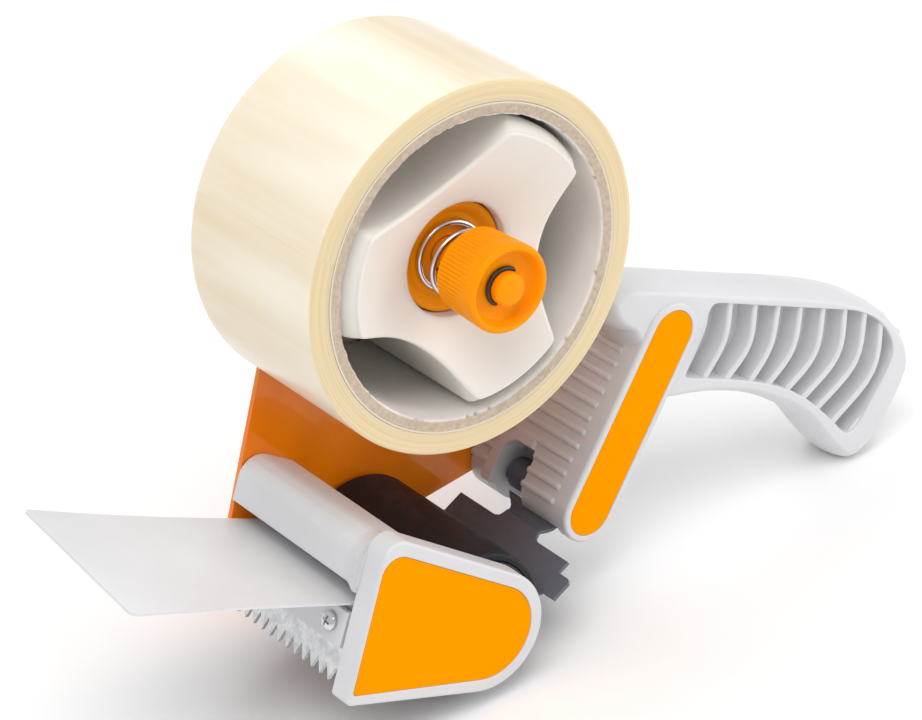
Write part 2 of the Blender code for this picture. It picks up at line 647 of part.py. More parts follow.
def make_flap(steel, wire):
    """Pressed flap: an eye on the pin, a neck down to the bend and a wide wing towards the roller."""
    eye_r = PIN_R + GAP + 1.0
    bend = Vector((60.4, -74.6))
    edge = Vector((50.7, -86.7))
    fall = (edge - bend).normalized()
    wing_length = (edge - bend).length

    def wing(along):
        here = bend + fall * along
        return (here.x, here.y, -fall.y, fall.x)

    wing_top, tab_foot = 3.0, wing_length - 2.4

    def side(tab_top):
        """Along and y of one end of the wing: its straight end, the stop tab and the rounded foot."""
        return [
            (wing_top, FLAP_HALF_WIDTH), (tab_top, FLAP_HALF_WIDTH), (tab_top, TAB_HALF_WIDTH - 1),
            (tab_top + 1, TAB_HALF_WIDTH), (tab_foot, TAB_HALF_WIDTH), (tab_foot, FLAP_HALF_WIDTH + 0.4),
            (wing_length, FLAP_HALF_WIDTH - 1.5),
        ]

    far_side = side(9.8)
    near_side = [(along, -y) for along, y in side(6.6)[::-1]]
    top = wing_top
    neck = [(top, NECK_NEAR_Y - 2), (top - 0.6, NECK_NEAR_Y - 0.6), (top - 2.0, NECK_NEAR_Y), (0.3, NECK_NEAR_Y),
            (0.3, NECK_FAR_Y), (top - 2.0, NECK_FAR_Y), (top - 0.6, NECK_FAR_Y + 0.6), (top, NECK_FAR_Y + 2)]
    flap = sheet("retainer_flap", far_side + near_side + neck, wing, FLAP_T, steel, at=(PIN_X, 0, PIN_Z))
    foot = [(59.7, -74.7), (60.6, -75.4), (62.7, -75.1), (64.9, -74.55), (66.15, -73.7), (66.85, -72.5),
            (66.0, -72.1), (65.4, -73.1), (64.5, -73.7), (62.5, -74.15), (60.4, -74.5)]
    join(flap, prism("flap_foot", foot, NECK_NEAR_Y + 0.05, NECK_FAR_Y - 0.05, helper=True))
    stem = [(66.0, -72.2), (66.8, -72.6), (67.9, -70.2), (67.0, PIN_Z), (PIN_X - eye_r + 0.05, PIN_Z)]
    join(flap, prism("flap_stem", stem, NECK_NEAR_Y + 0.1, -0.4, helper=True))
    eye = [(PIN_R + GAP, -0.3), (eye_r, -0.3), (eye_r, NECK_NEAR_Y), (PIN_R + GAP, NECK_NEAR_Y)]
    join(flap, turned("flap_eye", eye, centre=(PIN_X, PIN_Z), steps=24, helper=True))
    rod("flap_pin", (PIN_X, PIN_Z), PIN_R, -11.0, 20.0, wire)
    per_turn = 10
    near, far = 5.8, 15.0
    path = []
    for i in range(TORSION_TURNS * per_turn + 1):
        turn = math.radians(180) + 2 * math.pi * i / per_turn
        y = near + (far - near) * i / (TORSION_TURNS * per_turn)
        path.append(Vector((PIN_X + TORSION_R * math.cos(turn), y, PIN_Z + TORSION_R * math.sin(turn))))
    tube("torsion_spring", path, TORSION_WIRE_R, wire, sides=5)


def make_labels(orange):
    prism("handle_label", pill(COLUMN_LOW, COLUMN_HIGH, LABEL_R - GAP),
          COLUMN_NEAR_Y + 0.1, COLUMN_NEAR_Y + 0.5, orange)
    prism("cheek_label", cheek_outline(3.5 + GAP, 0.7 + GAP), CHEEK_NEAR_Y + 0.1, CHEEK_NEAR_Y + 0.5, orange)


HANDLE_SCREWS = [(76.6, -58.0), (81.2, -20.5), (77.6, -39.0)]
GUARD_SCREWS = [(-6.0, -74.6), (0.2, -76.4)]

for old in list(bpy.data.objects):
    bpy.data.objects.remove(old)
stand = bpy.data.objects.new("dispenser", None)
bpy.context.scene.collection.objects.link(stand)
stand.location = (AXIS_X * MM, AXIS_Y * MM, AXIS_HEIGHT * MM)
stand.rotation_euler = (0, TILT, 0)

light_grey = material("light_grey_plastic", (0.72, 0.72, 0.74), 0.4)
warm_white = material("warm_white_plastic", (0.75, 0.71, 0.64), 0.45)
orange_plastic = material("orange_plastic", (1.0, 0.35, 0.0), 0.4)
orange_label = material("orange_label", (1.0, 0.36, 0.0), 0.5)
orange_lacquer = material("orange_lacquer", (0.72, 0.25, 0.0), 0.2, 0.3)
black_rubber = material("black_rubber", (0.015, 0.014, 0.016), 0.6)
black_plastic = material("black_plastic", (0.02, 0.02, 0.022), 0.4)
zinc_steel = material("zinc_plated_steel", (0.55, 0.55, 0.55), 0.3, 1.0)
grey_steel = material("dark_grey_steel", (0.10, 0.10, 0.11), 0.4, 0.6)
cardboard = material("cardboard", (0.55, 0.46, 0.36), 0.9)
tape_film = material("tape_film", (0.90, 0.80, 0.55), 0.25)
wiper_plastic = material("wiper_plastic", (0.68, 0.68, 0.69), 0.4)

make_side_plate(orange_lacquer)
make_hub(warm_white)
make_spindle_parts(orange_plastic, zinc_steel, black_plastic)
make_tape(cardboard, tape_film)
make_roller(black_rubber, black_plastic, zinc_steel)
make_guard(light_grey)
make_blade(zinc_steel, light_grey)
make_wiper(wiper_plastic)
make_handle(light_grey)
make_flap(grey_steel, grey_steel)
make_labels(orange_label)
for number, spot in enumerate(HANDLE_SCREWS, 1):
    pan_screw(f"handle_screw_{number}", spot, PLATE_BACK + GAP, 1.7, PLATE_Y - 10, 3.8, zinc_steel)
for number, spot in enumerate(GUARD_SCREWS, 1):
    pan_screw(f"guard_screw_{number}", spot, PLATE_BACK + GAP, 1.5, PLATE_Y - 9, 2.8, zinc_steel)
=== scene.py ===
"""Looks of a hand-held packing tape dispenser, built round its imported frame.

Shapes are made in the design frame, in millimetres: the roll's axis is along Y through the origin, +X
goes to the grip and +Z up, with the top of the grip level. STAND then tilts them to where the tool stands.
"""
import random
from math import acos, asin, atan2, copysign, cos, degrees, hypot, pi, radians, sin, sqrt, tan

import bmesh
import bpy
from mathutils import Euler, Matrix, Vector


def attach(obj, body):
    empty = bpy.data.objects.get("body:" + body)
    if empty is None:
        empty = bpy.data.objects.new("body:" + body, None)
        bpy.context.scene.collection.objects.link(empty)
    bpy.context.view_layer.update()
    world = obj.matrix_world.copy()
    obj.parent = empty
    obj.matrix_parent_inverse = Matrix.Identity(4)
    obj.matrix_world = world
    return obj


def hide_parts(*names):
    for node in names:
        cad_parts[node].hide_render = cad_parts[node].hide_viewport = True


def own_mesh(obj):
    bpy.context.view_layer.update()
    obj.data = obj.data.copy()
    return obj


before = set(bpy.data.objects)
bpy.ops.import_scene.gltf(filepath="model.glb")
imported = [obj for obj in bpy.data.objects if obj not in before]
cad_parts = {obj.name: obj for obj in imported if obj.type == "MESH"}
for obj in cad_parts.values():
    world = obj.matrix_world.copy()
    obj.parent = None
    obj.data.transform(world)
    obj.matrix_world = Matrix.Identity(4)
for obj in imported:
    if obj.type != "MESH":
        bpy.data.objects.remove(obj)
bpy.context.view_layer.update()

MM = 0.001
GAP = 0.3

# Roll and hub.
TAPE_HALF = 25.0
BORE_R = 38.1
CORE_R = 41.4
TAPE_R = 47.0
LOBE_R = 36.8
LOBE_TURN = 70.2
LOBE_HALF_ANGLE = 21.6
SCALLOP_R = 22.3
HUB_RIM_Y = -26.2
HUB_RIM_R = 34.4
HUB_TAPER_Y = -21.5
HUB_ROOT_R = 27.0
HUB_DISH_Y = -18.3
HUB_BACK_Y = 24.6
POCKET_R = 14.4
POCKET_Y = -12.3
WASHER_DISH_Y = -13.6

# Side plate and guard.
PLATE_Y = 27.0
PLATE_BACK = 28.5
GUARD_FAR_Y = PLATE_Y - GAP
CHEEK_NEAR_Y = -33.5
CHEEK_FAR_Y = -26.0
CHEEK_REAR = (28.5, -90.5)
CHEEK_REAR_R = 16.1
SHELF_X = -7.4
HANDLE_SCREWS = ((76.6, -58.0), (81.2, -20.5), (77.6, -39.0))
GUARD_SCREWS = ((-6.0, -74.6), (0.2, -76.4))

# Roller, wiper, blade.
ROLLER = (31.0, -91.5)
ROLLER_R = 18.7
ROLLER_NEAR_Y = -25.2
ROLLER_FAR_Y = 26.2
WIPER_Z = -85.2
WIPER_ROOT_X = 0.9
WIPER_TIP_X = -74.0
WIPER_HALF = 25.4
BLADE_SCREW_Y = 19.5
BLADE_SCREW_Z = -92.2

# Handle.
COLUMN_LOW = (70.7, -67.4)
COLUMN_HIGH = (81.7, -18.2)
COLUMN_R = 8.4
COLUMN_NEAR_Y = -13.0
LABEL_R = 6.4
GRIP_NEAR_Y = -12.2
GRIP_FAR_Y = 6.2
GRIP_TOP_Z = -5.4
GRIP_EDGE = 3.2
GRIP_RECESS = 6.5
BAR_PITCH = 3.86
PIN = (69.1, -67.6)

# How the tool stands.
BUTT = (164.289, -52.807)
REACH = hypot(BUTT[0] - ROLLER[0], BUTT[1] - ROLLER[1])
SLOPE = atan2(BUTT[1] - ROLLER[1], BUTT[0] - ROLLER[0])
TILT = SLOPE + asin(ROLLER_R / REACH)
AXIS_HEIGHT = ROLLER_R + sin(TILT) * ROLLER[0] - cos(TILT) * ROLLER[1]
AXIS = Vector((-23.65, 3.5, AXIS_HEIGHT)) * MM
STAND = Matrix.Translation(AXIS) @ Matrix.Rotation(TILT, 4, "Y")


# ---- outlines in the XZ plane

def on_circle(centre, radius, angle):
    turn = radians(angle)
    return (centre[0] + radius * cos(turn), centre[1] + radius * sin(turn))


def arc(centre, radius, start, end, steps):
    return [on_circle(centre, radius, start + (end - start) * i / steps) for i in range(steps + 1)]


def rounded(corners, steps=8):
    """Outline through (x, z, radius) corners, each turned into an arc of that radius."""
    points = []
    for i, (x, z, radius) in enumerate(corners):
        here = Vector((x, z))
        if radius == 0:
            points.append((x, z))
            continue
        before = (Vector(corners[i - 1][:2]) - here).normalized()
        after = (Vector(corners[(i + 1) % len(corners)][:2]) - here).normalized()
        half = acos(max(-1.0, min(1.0, before.dot(after)))) / 2
        centre = here + (before + after).normalized() * radius / sin(half)
        start = here + before * radius / tan(half) - centre
        end = here + after * radius / tan(half) - centre
        for step in range(steps + 1):
            spoke = start.slerp(end, step / steps).normalized()
            points.append(tuple(centre + spoke * radius))
    return points


def smooth_through(points, steps):
    """Catmull-Rom curve from the second point to the last but one."""
    curve = []
    for a, b, c, d in zip(points, points[1:], points[2:], points[3:]):
        for step in range(steps):
            t = step / steps
            weights = (-t + 2 * t**2 - t**3, 2 - 5 * t**2 + 3 * t**3, t + 4 * t**2 - 3 * t**3, t**3 - t**2)
            curve.append(tuple(sum(w * p[k] for w, p in zip(weights, (a, b, c, d))) / 2
                               for k in range(len(a))))
    curve.append(points[-2])
    return curve


def pill(low, high, radius, steps=28):
    """Stadium around the line from low to high."""
    lean = degrees(atan2(high[1] - low[1], high[0] - low[0]))
    return arc(high, radius, lean - 90, lean + 90, steps) + arc(low, radius, lean + 90, lean + 270, steps)


def offset(outline, distance):
    """The outline moved inwards by a distance that is small against its bends."""
    moved = []
    for i, here in enumerate(outline):
        before, after = Vector(outline[i - 1]), Vector(outline[(i + 1) % len(outline)])
        along = (after - before).normalized()
        moved.append((here[0] + along.y * distance, here[1] - along.x * distance))
    return moved


def softened(outline, spacing, passes):
    """The outline resampled evenly and smoothed, which rounds its corners."""
    points = [Vector(p) for p in outline]
    lengths = [(points[i] - points[i - 1]).length for i in range(len(points))]
    count = int(sum(lengths) / spacing)
    even = []
    step = sum(lengths) / count
    walked, i, base = 0.0, 0, points[-1]
    for k in range(count):
        target = k * step
        while walked + lengths[i] < target:
            walked += lengths[i]
            i += 1
        even.append(points[i - 1].lerp(points[i], (target - walked) / max(lengths[i], 1e-9)))
    for _ in range(passes):
        even = [(even[k - 1] + even[k] * 2 + even[(k + 1) % count]) / 4 for k in range(count)]
    return [tuple(p) for p in even]


def spin(outline):
    """The outline the other way round, so that offset() goes the same way for all of them."""
    area = sum(outline[i - 1][0] * p[1] - p[0] * outline[i - 1][1] for i, p in enumerate(outline))
    return outline if area < 0 else outline[::-1]


# ---- solids

def new_object(name, data):
    made = bpy.data.objects.new(name, data)
    bpy.context.scene.collection.objects.link(made)
    return made


def made_of(name, bm):
    bmesh.ops.remove_doubles(bm, verts=bm.verts, dist=1e-5)
    bmesh.ops.recalc_face_normals(bm, faces=bm.faces)
    mesh = bpy.data.meshes.new(name)
    bm.to_mesh(mesh)
    bm.free()
    return new_object(name, mesh)


def loft(name, rings, closed=False):
    """Skin over rings of points, with flat ends, or joined end to end if closed."""
    bm = bmesh.new()
    rows = [[bm.verts.new(p) for p in ring] for ring in rings]
    pairs = list(zip(rows, rows[1:])) + ([(rows[-1], rows[0])] if closed else [])
    for one, two in pairs:
        for i in range(len(one)):
            j = (i + 1) % len(one)
            bm.faces.new((one[i], one[j], two[j], two[i]))
    if not closed:
        bm.faces.new(rows[0])
        bm.faces.new(rows[-1][::-1])
    return made_of(name, bm)


def prism(name, outline, near, far, edge=0.0, far_edge=None, steps=5):
    """An XZ outline extruded along Y, its rims rounded by edge."""
    outline = spin(outline)
    far_edge = edge if far_edge is None else far_edge
    levels = []
    if edge:
        levels += [(near + edge * (1 - sin(a)), edge * (1 - cos(a)))
                   for a in (pi / 2 * (1 - i / steps) for i in range(steps + 1))]
    else:
        levels.append((near, 0.0))
    if far_edge:
        levels += [(far - far_edge * (1 - sin(a)), far_edge * (1 - cos(a)))
                   for a in (pi / 2 * i / steps for i in range(steps + 1))]
    else:
        levels.append((far, 0.0))
    return loft(name, [[(x, y, z) for x, z in offset(outline, d)] if d else [(x, y, z) for x, z in outline]
                       for y, d in levels])


def round_rim(radius, face, r, steps):
    """Quarter-round edge of a turned profile, from its face at +Y to its outside."""
    turns = (pi / 2 / steps * i for i in range(steps + 1))
    return [(radius - r + r * sin(a), face - r + r * cos(a)) for a in turns]


def turned(name, profile, centre=(0, 0), steps=96, wobble=None):
    """A closed (radius, y) profile turned about the Y axis through centre."""
    bm = bmesh.new()
    rings = []
    for row, (radius, y) in enumerate(profile):
        if radius == 0:
            rings.append([bm.verts.new((centre[0], y, centre[1]))] * steps)
            continue
        ring = []
        for i in range(steps):
            r, at = (radius, y) if wobble is None else wobble(row, radius, y, 360 * i / steps)
            x, z = on_circle(centre, r, 360 * i / steps)
            ring.append(bm.verts.new((x, at, z)))
        rings.append(ring)
    for k, ring in enumerate(rings):
        following = rings[(k + 1) % len(rings)]
        if profile[k][0] == 0 and profile[(k + 1) % len(profile)][0] == 0:
            continue
        for i in range(steps):
            j = (i + 1) % steps
            bm.faces.new(list(dict.fromkeys((ring[i], ring[j], following[j], following[i]))))
    return made_of(name, bm)


def swept(name, path, section, across):
    """A closed section of (side, up) points carried along a path; across(i) is the side direction."""
    rings = []
    for i, here in enumerate(path):
        ahead = (path[min(i + 1, len(path) - 1)] - path[max(i - 1, 0)]).normalized()
        side = across(i)
        side = (side - ahead * side.dot(ahead)).normalized()
        up = side.cross(ahead)
        rings.append([here + side * s + up * u for s, u in section(i)])
    return loft(name, rings)


def wire(name, path, radius, sides=14):
    """Round wire along a path, with rounded ends."""
    def section(i):
        near_end = min(i, len(path) - 1 - i)
        r = radius * (0.55 if near_end == 0 else 0.88 if near_end == 1 else 1.0)
        return [(r * cos(2 * pi * k / sides), r * sin(2 * pi * k / sides))
                for k in range(sides)]
    return swept(name, path, section, lambda i: Vector((0.31, 0.92, 0.24)))


def joined(first, *others):
    """Several closed shells put together as one object."""
    bm = bmesh.new()
    for each in (first, *others):
        bm.from_mesh(each.data)
    bm.to_mesh(first.data)
    bm.free()
    for each in others:
        bpy.data.objects.remove(each)
    return first


tools = []


def cut(target, *others, operation="DIFFERENCE"):
    for other in others:
        step = target.modifiers.new(other.name, "BOOLEAN")
        step.operation = operation
        step.solver = "EXACT"
        step.object = other
        other.hide_render = True
        tools.append(other)


def union(target, *others):
    cut(target, *others, operation="UNION")


def bevel(target, width, angle=34):
    step = target.modifiers.new("edges", "BEVEL")
    step.width = width
    step.segments = 2
    step.limit_method = "ANGLE"
    step.angle_limit = radians(angle)
    step.miter_outer = "MITER_ARC"
    step.use_clamp_overlap = True


def bake(piece):
    """Applies the modifiers and removes the cutters."""
    bpy.context.view_layer.update()
    graph = bpy.context.evaluated_depsgraph_get()
    mesh = bpy.data.meshes.new_from_object(piece.evaluated_get(graph))
    piece.modifiers.clear()
    piece.data = mesh
    for tool in tools:
        bpy.data.objects.remove(tool)
    tools.clear()
    return piece


def dress(piece, look, node, body="frame_body", sharp=38):
    """Puts a finished shape in its node's place, gives it its look and ties it to its body."""
    bake(piece)
    mesh = piece.data
    mesh.transform(STAND @ Matrix.Scale(MM, 4))
    mesh.materials.clear()
    mesh.materials.append(look)
    mesh.shade_smooth()
    mesh.set_sharp_from_angle(angle=radians(sharp))
    weighted = piece.modifiers.new("normals", "WEIGHTED_NORMAL")
    weighted.keep_sharp = True
    bake(piece)
    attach(piece, body)
    # The frame has materials with some of these names, so Blender may add a number to a look's.
    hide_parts(node)


# ---- materials

class Look:
    """A Principled material built from nodes, with coordinates in the design frame, in metres."""

    def __init__(self, name, colour, roughness, metallic=0.0, **sockets):
        self.material = bpy.data.materials.new(name)
        self.material.use_nodes = True
        self.tree = self.material.node_tree
        self.shader = self.tree.nodes["Principled BSDF"]
        sockets |= {"Base_Color": (*colour, 1.0), "Roughness": roughness, "Metallic": metallic}
        for socket, value in sockets.items():
            self.shader.inputs[socket.replace("_", " ")].default_value = value
        self.normal = None
        place = self.add("ShaderNodeMapping")
        back = STAND.inverted()
        place.inputs["Location"].default_value = back.translation
        place.inputs["Rotation"].default_value = Euler((0, -TILT, 0))
        self.join(self.add("ShaderNodeTexCoord").outputs["Object"], place.inputs["Vector"])
        self.place = place.outputs["Vector"]

    def add(self, kind, **values):
        node = self.tree.nodes.new(kind)
        for key, value in values.items():
            setattr(node, key, value)
        return node

    def join(self, source, target):
        self.tree.links.new(source, target)

    def feed(self, socket, value):
        if isinstance(value, bpy.types.NodeSocket):
            self.join(value, socket)
        else:
            socket.default_value = value

    def maths(self, operation, *values):
        node = self.add("ShaderNodeMath", operation=operation)
        for socket, value in zip(node.inputs, values):
            self.feed(socket, value)
        return node.outputs[0]

    def polar(self):
        """Radius and angle about the roll's axis, and the place along it."""
        node = self.add("ShaderNodeSeparateXYZ")
        self.join(self.place, node.inputs[0])
        x, y, z = node.outputs
        squares = self.maths("ADD", self.maths("MULTIPLY", x, x), self.maths("MULTIPLY", z, z))
        return self.maths("SQRT", squares), self.maths("ARCTAN2", z, x), y

    def stretched(self, scale):
        node = self.add("ShaderNodeMapping")
        self.join(self.place, node.inputs["Vector"])
        node.inputs["Scale"].default_value = scale
        return node.outputs["Vector"]

    def noise(self, scale, detail=3.0, roughness=0.5, where=None, distortion=0.0):
        node = self.add("ShaderNodeTexNoise")
        self.join(where or self.place, node.inputs["Vector"])
        for socket, value in zip(("Scale", "Detail", "Roughness", "Distortion"),
                                 (scale, detail, roughness, distortion)):
            node.inputs[socket].default_value = value
        return node.outputs["Fac"]

    def banded(self, one, other, shift, detail, roughness):
        """Noise over two coordinates, each given as (value, scale)."""
        node = self.add("ShaderNodeCombineXYZ")
        for socket, (value, scale) in zip(node.inputs, (one, other)):
            self.join(self.maths("MULTIPLY", value, scale), socket)
        node.inputs[2].default_value = shift
        return self.noise(1.0, detail, roughness, node.outputs[0])

    def ramp(self, value, *stops):
        """Colour or grey by value; stops are (position, colour or grey)."""
        node = self.add("ShaderNodeValToRGB")
        self.join(value, node.inputs[0])
        elements = node.color_ramp.elements
        while len(elements) < len(stops):
            elements.new(1.0)
        for element, (position, colour) in zip(elements, stops):
            element.position = position
            element.color = (colour,) * 3 + (1,) if isinstance(colour, float) else (*colour, 1)
        return node.outputs["Color"]

    def spread(self, value, low, high, to_low=0.0, to_high=1.0):
        node = self.add("ShaderNodeMapRange")
        for socket, given in zip(node.inputs, (value, low, high, to_low, to_high)):
            self.feed(socket, given)
        return node.outputs[0]

    def mixed(self, factor, one, two):
        node = self.add("ShaderNodeMix", data_type="RGBA")
        self.feed(node.inputs[0], factor)
        for socket, value in ((node.inputs[6], one), (node.inputs[7], two)):
            self.feed(socket, (*value, 1) if isinstance(value, tuple) else value)
        return node.outputs[2]

    def paint(self, colour):
        self.join(colour, self.shader.inputs["Base Color"])

    def gloss(self, value):
        self.join(value, self.shader.inputs["Roughness"])

    def relief(self, height, distance, strength=1.0):
        """Adds a bump; distance is its depth in metres."""
        node = self.add("ShaderNodeBump")
        node.inputs["Strength"].default_value = strength
        node.inputs["Distance"].default_value = distance
        self.feed(node.inputs["Height"], height)
        if self.normal:
            self.join(self.normal, node.inputs["Normal"])
        self.normal = node.outputs[0]
        self.join(self.normal, self.shader.inputs["Normal"])


def shade(colour, factor):
    return tuple(min(1.0, c * factor) for c in colour)


def plastic(name, colour, roughness, grain=0.00003, dust=0.04, **sockets):
    """Moulded plastic: fine spark-eroded grain, faint clouding and slightly uneven gloss."""
    look = Look(name, colour, roughness, **sockets)
    clouds = look.noise(38.0, 4.0)
    dull, bright = shade(colour, 1 - dust), shade(colour, 1 + dust / 2)
    look.paint(look.mixed(look.spread(clouds, 0.3, 0.7), dull, bright))
    look.gloss(look.spread(look.noise(160.0, 3.0), 0.3, 0.7, roughness - 0.04, roughness + 0.05))
    look.relief(look.noise(2600.0, 2.0), grain, 0.5)
    look.relief(look.noise(55.0, 1.0), 0.0004, 0.06)
    return look.material


def metal(name, colour, roughness, spangle, metallic=1.0):
    """Metal with an uneven plated surface; spangle is how much its patches differ."""
    look = Look(name, colour, roughness, metallic)
    patches = look.noise(420.0, 4.0, 0.65)
    dull, bright = shade(colour, 1 - spangle), shade(colour, 1 + spangle)
    look.paint(look.mixed(look.spread(patches, 0.35, 0.65), dull, bright))
    look.gloss(look.spread(look.noise(700.0, 3.0), 0.3, 0.7, max(0.05, roughness - 0.08), roughness + 0.1))
    look.relief(patches, 0.00003, 0.25)
    return look.material


def cardboard():
    """Wound paperboard: plies round the end face, a pale glued liner inside and a white outer ply."""
    look = Look("cardboard", (0.56, 0.46, 0.35), 0.9)
    radius, angle, _ = look.polar()
    fibres = look.noise(900.0, 5.0, 0.7)
    plies = look.banded((radius, 5200.0), (angle, 3.0), 0.0, 2.0, 0.5)
    end = look.mixed(look.spread(fibres, 0.3, 0.7), (0.46, 0.365, 0.265), (0.68, 0.58, 0.46))
    end = look.mixed(look.spread(plies, 0.3, 0.8, 0.0, 0.45), end, (0.42, 0.33, 0.24))
    liner = look.mixed(look.spread(look.noise(60.0, 4.0), 0.3, 0.7), (0.74, 0.71, 0.68), (0.83, 0.80, 0.765))
    inside = look.spread(radius, (BORE_R + 0.25) * MM, (BORE_R + 0.55) * MM, 1.0, 0.0)
    outside = look.spread(radius, (CORE_R - 0.5) * MM, (CORE_R - 0.3) * MM)
    colour = look.mixed(inside, end, liner)
    look.paint(look.mixed(outside, colour, (0.76, 0.69, 0.57)))
    look.relief(fibres, 0.00016, 0.7)
    look.relief(plies, 0.0001, 0.4)
    return look.material


def film():
    """A wound roll of clear tape: soft light and dark bands across its width, rings on its side face."""
    look = Look("wound_clear_tape", (0.92, 0.85, 0.64), 0.2, Subsurface_Weight=0.25,
                Subsurface_Radius=(0.006, 0.005, 0.003), Subsurface_Scale=1.0, IOR=1.48,
                Coat_Weight=0.12, Coat_Roughness=0.12)
    radius, angle, y = look.polar()
    broad = look.banded((angle, 1.9), (y, 9.0), 0.3, 2.0, 0.45)
    fine = look.banded((angle, 14.0), (y, 6.0), 1.7, 3.0, 0.6)
    face = look.ramp(broad, (0.30, (0.95, 0.875, 0.74)), (0.47, (0.875, 0.765, 0.59)),
                     (0.60, (0.82, 0.68, 0.46)), (0.78, (0.93, 0.85, 0.69)))
    face = look.mixed(look.spread(fine, 0.35, 0.75, 0.0, 0.35), face, (0.96, 0.89, 0.77))
    rings = look.banded((radius, 2600.0), (angle, 0.8), 0.0, 3.0, 0.6)
    side = look.mixed(look.spread(rings, 0.3, 0.7), (0.70, 0.55, 0.32), (0.82, 0.68, 0.43))
    edge = look.spread(look.maths("ABSOLUTE", y), (TAPE_HALF - 0.5) * MM, (TAPE_HALF - 0.1) * MM)
    look.paint(look.mixed(edge, face, side))
    look.gloss(look.spread(edge, 0.0, 1.0, 0.28, 0.45))
    look.relief(rings, 0.00005, 0.35)
    look.relief(fine, 0.00025, 0.10)
    return look.material


def lacquer():
    """Glossy orange lacquer over pressed steel, with orange peel and a fan of streaks painted darker and
    brighter as reflections.
    """
    look = Look("orange_lacquer", (0.95, 0.22, 0.0), 0.2, 0.0, Specular_IOR_Level=0.2, Coat_Weight=0.4,
                Coat_Roughness=0.05)
    reflection_fan = look.noise(1.0, 2.0, 0.5, where=look.stretched((17.0, 1.0, 8.0)), distortion=0.5)
    # The fan noise paints reflections: the ramp turns it into darker and brighter orange streaks, and the same
    # noise also ripples the surface slightly.
    colour = look.ramp(reflection_fan, (0.30, (0.80, 0.160, 0.0)), (0.45, (0.91, 0.200, 0.0)),
                       (0.56, (0.98, 0.245, 0.001)), (0.72, (0.88, 0.185, 0.0)))
    speck = look.spread(look.noise(1500.0, 2.0), 0.62, 0.75, 0.0, 0.25)
    look.paint(look.mixed(speck, colour, (1.0, 0.42, 0.03)))
    look.relief(reflection_fan, 0.002, 0.18)
    look.relief(look.noise(900.0, 2.0), 0.00006, 0.35)
    return look.material


def rubber():
    look = Look("black_rubber", (0.010, 0.012, 0.017), 0.42, Specular_IOR_Level=0.3)
    bloom = look.spread(look.noise(90.0, 4.0), 0.35, 0.7)
    look.paint(look.mixed(bloom, (0.008, 0.0095, 0.014), (0.014, 0.016, 0.022)))
    look.gloss(look.spread(look.noise(240.0, 3.0), 0.3, 0.7, 0.42, 0.62))
    look.relief(look.noise(1800.0, 3.0), 0.00006, 0.5)
    return look.material


GREY = plastic("light_grey_plastic", (0.69, 0.69, 0.71), 0.36)
HUB = plastic("warm_white_plastic", (0.83, 0.795, 0.735), 0.46, grain=0.00002)
ORANGE = plastic("orange_plastic", (1.0, 0.32, 0.0), 0.36, dust=0.03, Specular_IOR_Level=0.08,
                 Subsurface_Weight=0.2, Subsurface_Radius=(0.004, 0.0015, 0.0003), Subsurface_Scale=1.0)
LABEL = plastic("orange_film", (1.0, 0.33, 0.0), 0.42, grain=0.00001, dust=0.02, Specular_IOR_Level=0.0)
DARK_PLASTIC = plastic("black_plastic", (0.022, 0.021, 0.024), 0.45)
WIPER = plastic("wiper_plastic", (0.72, 0.72, 0.735), 0.34, grain=0.00001, dust=0.05)
ZINC = metal("zinc_plated_steel", (0.72, 0.72, 0.73), 0.24, 0.05)
WIRE = metal("spring_wire", (0.66, 0.67, 0.70), 0.16, 0.04)
GALVANISED = metal("galvanised_blade", (0.70, 0.71, 0.72), 0.34, 0.16)
DARK_STEEL = metal("dark_flap_steel", (0.115, 0.130, 0.165), 0.42, 0.06, metallic=0.0)
CLIP = metal("dark_clip_steel", (0.06, 0.062, 0.07), 0.4, 0.1, metallic=0.7)
CARD = cardboard()
FILM = film()
LACQUER = lacquer()
RUBBER = rubber()


# ---- common pieces

def rod(name, centre, radius, near, far, steps=48):
    return turned(name, [(0, near), (radius, near), (radius, far), (0, far)], centre, steps)


def layered(name, outline, levels, refine=1):
    """An XZ outline at each (y, inset) level; a negative inset grows it."""
    outline = spin(outline)
    rings = []
    for y, inset in levels:
        ring = offset(outline, inset)
        if refine > 1:
            ring = smooth_through([ring[-1], *ring, ring[0], ring[1]], refine)[:-1]
        rings.append([(x, y, z) for x, z in ring])
    return loft(name, rings)


def hollow(name, outline, mouth, floor, lip, fillet):
    """Cutter for a recess along Y with a rounded lip at its mouth and a filleted floor."""
    way = 1 if floor > mouth else -1
    levels = [(mouth - 3 * way, -lip), (mouth, -lip)]
    levels += [(mouth + way * lip * (1 - cos(a)), -lip * (1 - sin(a)))
               for a in (pi / 6, pi / 3, pi / 2)]
    levels += [(floor - way * fillet * (1 - sin(a)), fillet * (1 - cos(a)))
               for a in (0, pi / 6, pi / 3, pi / 2)]
    return layered(name, outline, levels)


def plate(name, outline, section, thickness):
    """Even plate from an (along, y) outline; section maps along to (x, z, nx, nz) of its mid plane."""
    bm = bmesh.new()
    sides = []
    for side in (-thickness / 2, thickness / 2):
        placed = [(section(along), y) for along, y in outline]
        sides.append([bm.verts.new((x + nx * side, y, z + nz * side)) for (x, z, nx, nz), y in placed])
    bm.faces.new(sides[0])
    bm.faces.new(sides[1][::-1])
    for i in range(len(outline)):
        j = (i + 1) % len(outline)
        bm.faces.new((sides[0][i], sides[0][j], sides[1][j], sides[1][i]))
    return made_of(name, bm)


def film_recess(name, outline, face_y):
    return hollow(name, outline, face_y, face_y + 0.8, 0.25, 0.15)


def film_on(name, outline, face_y):
    """Thin film in a recess whose rim is at face_y."""
    return prism(name, outline, face_y + 0.15, face_y + 0.55, edge=0.1, steps=2)


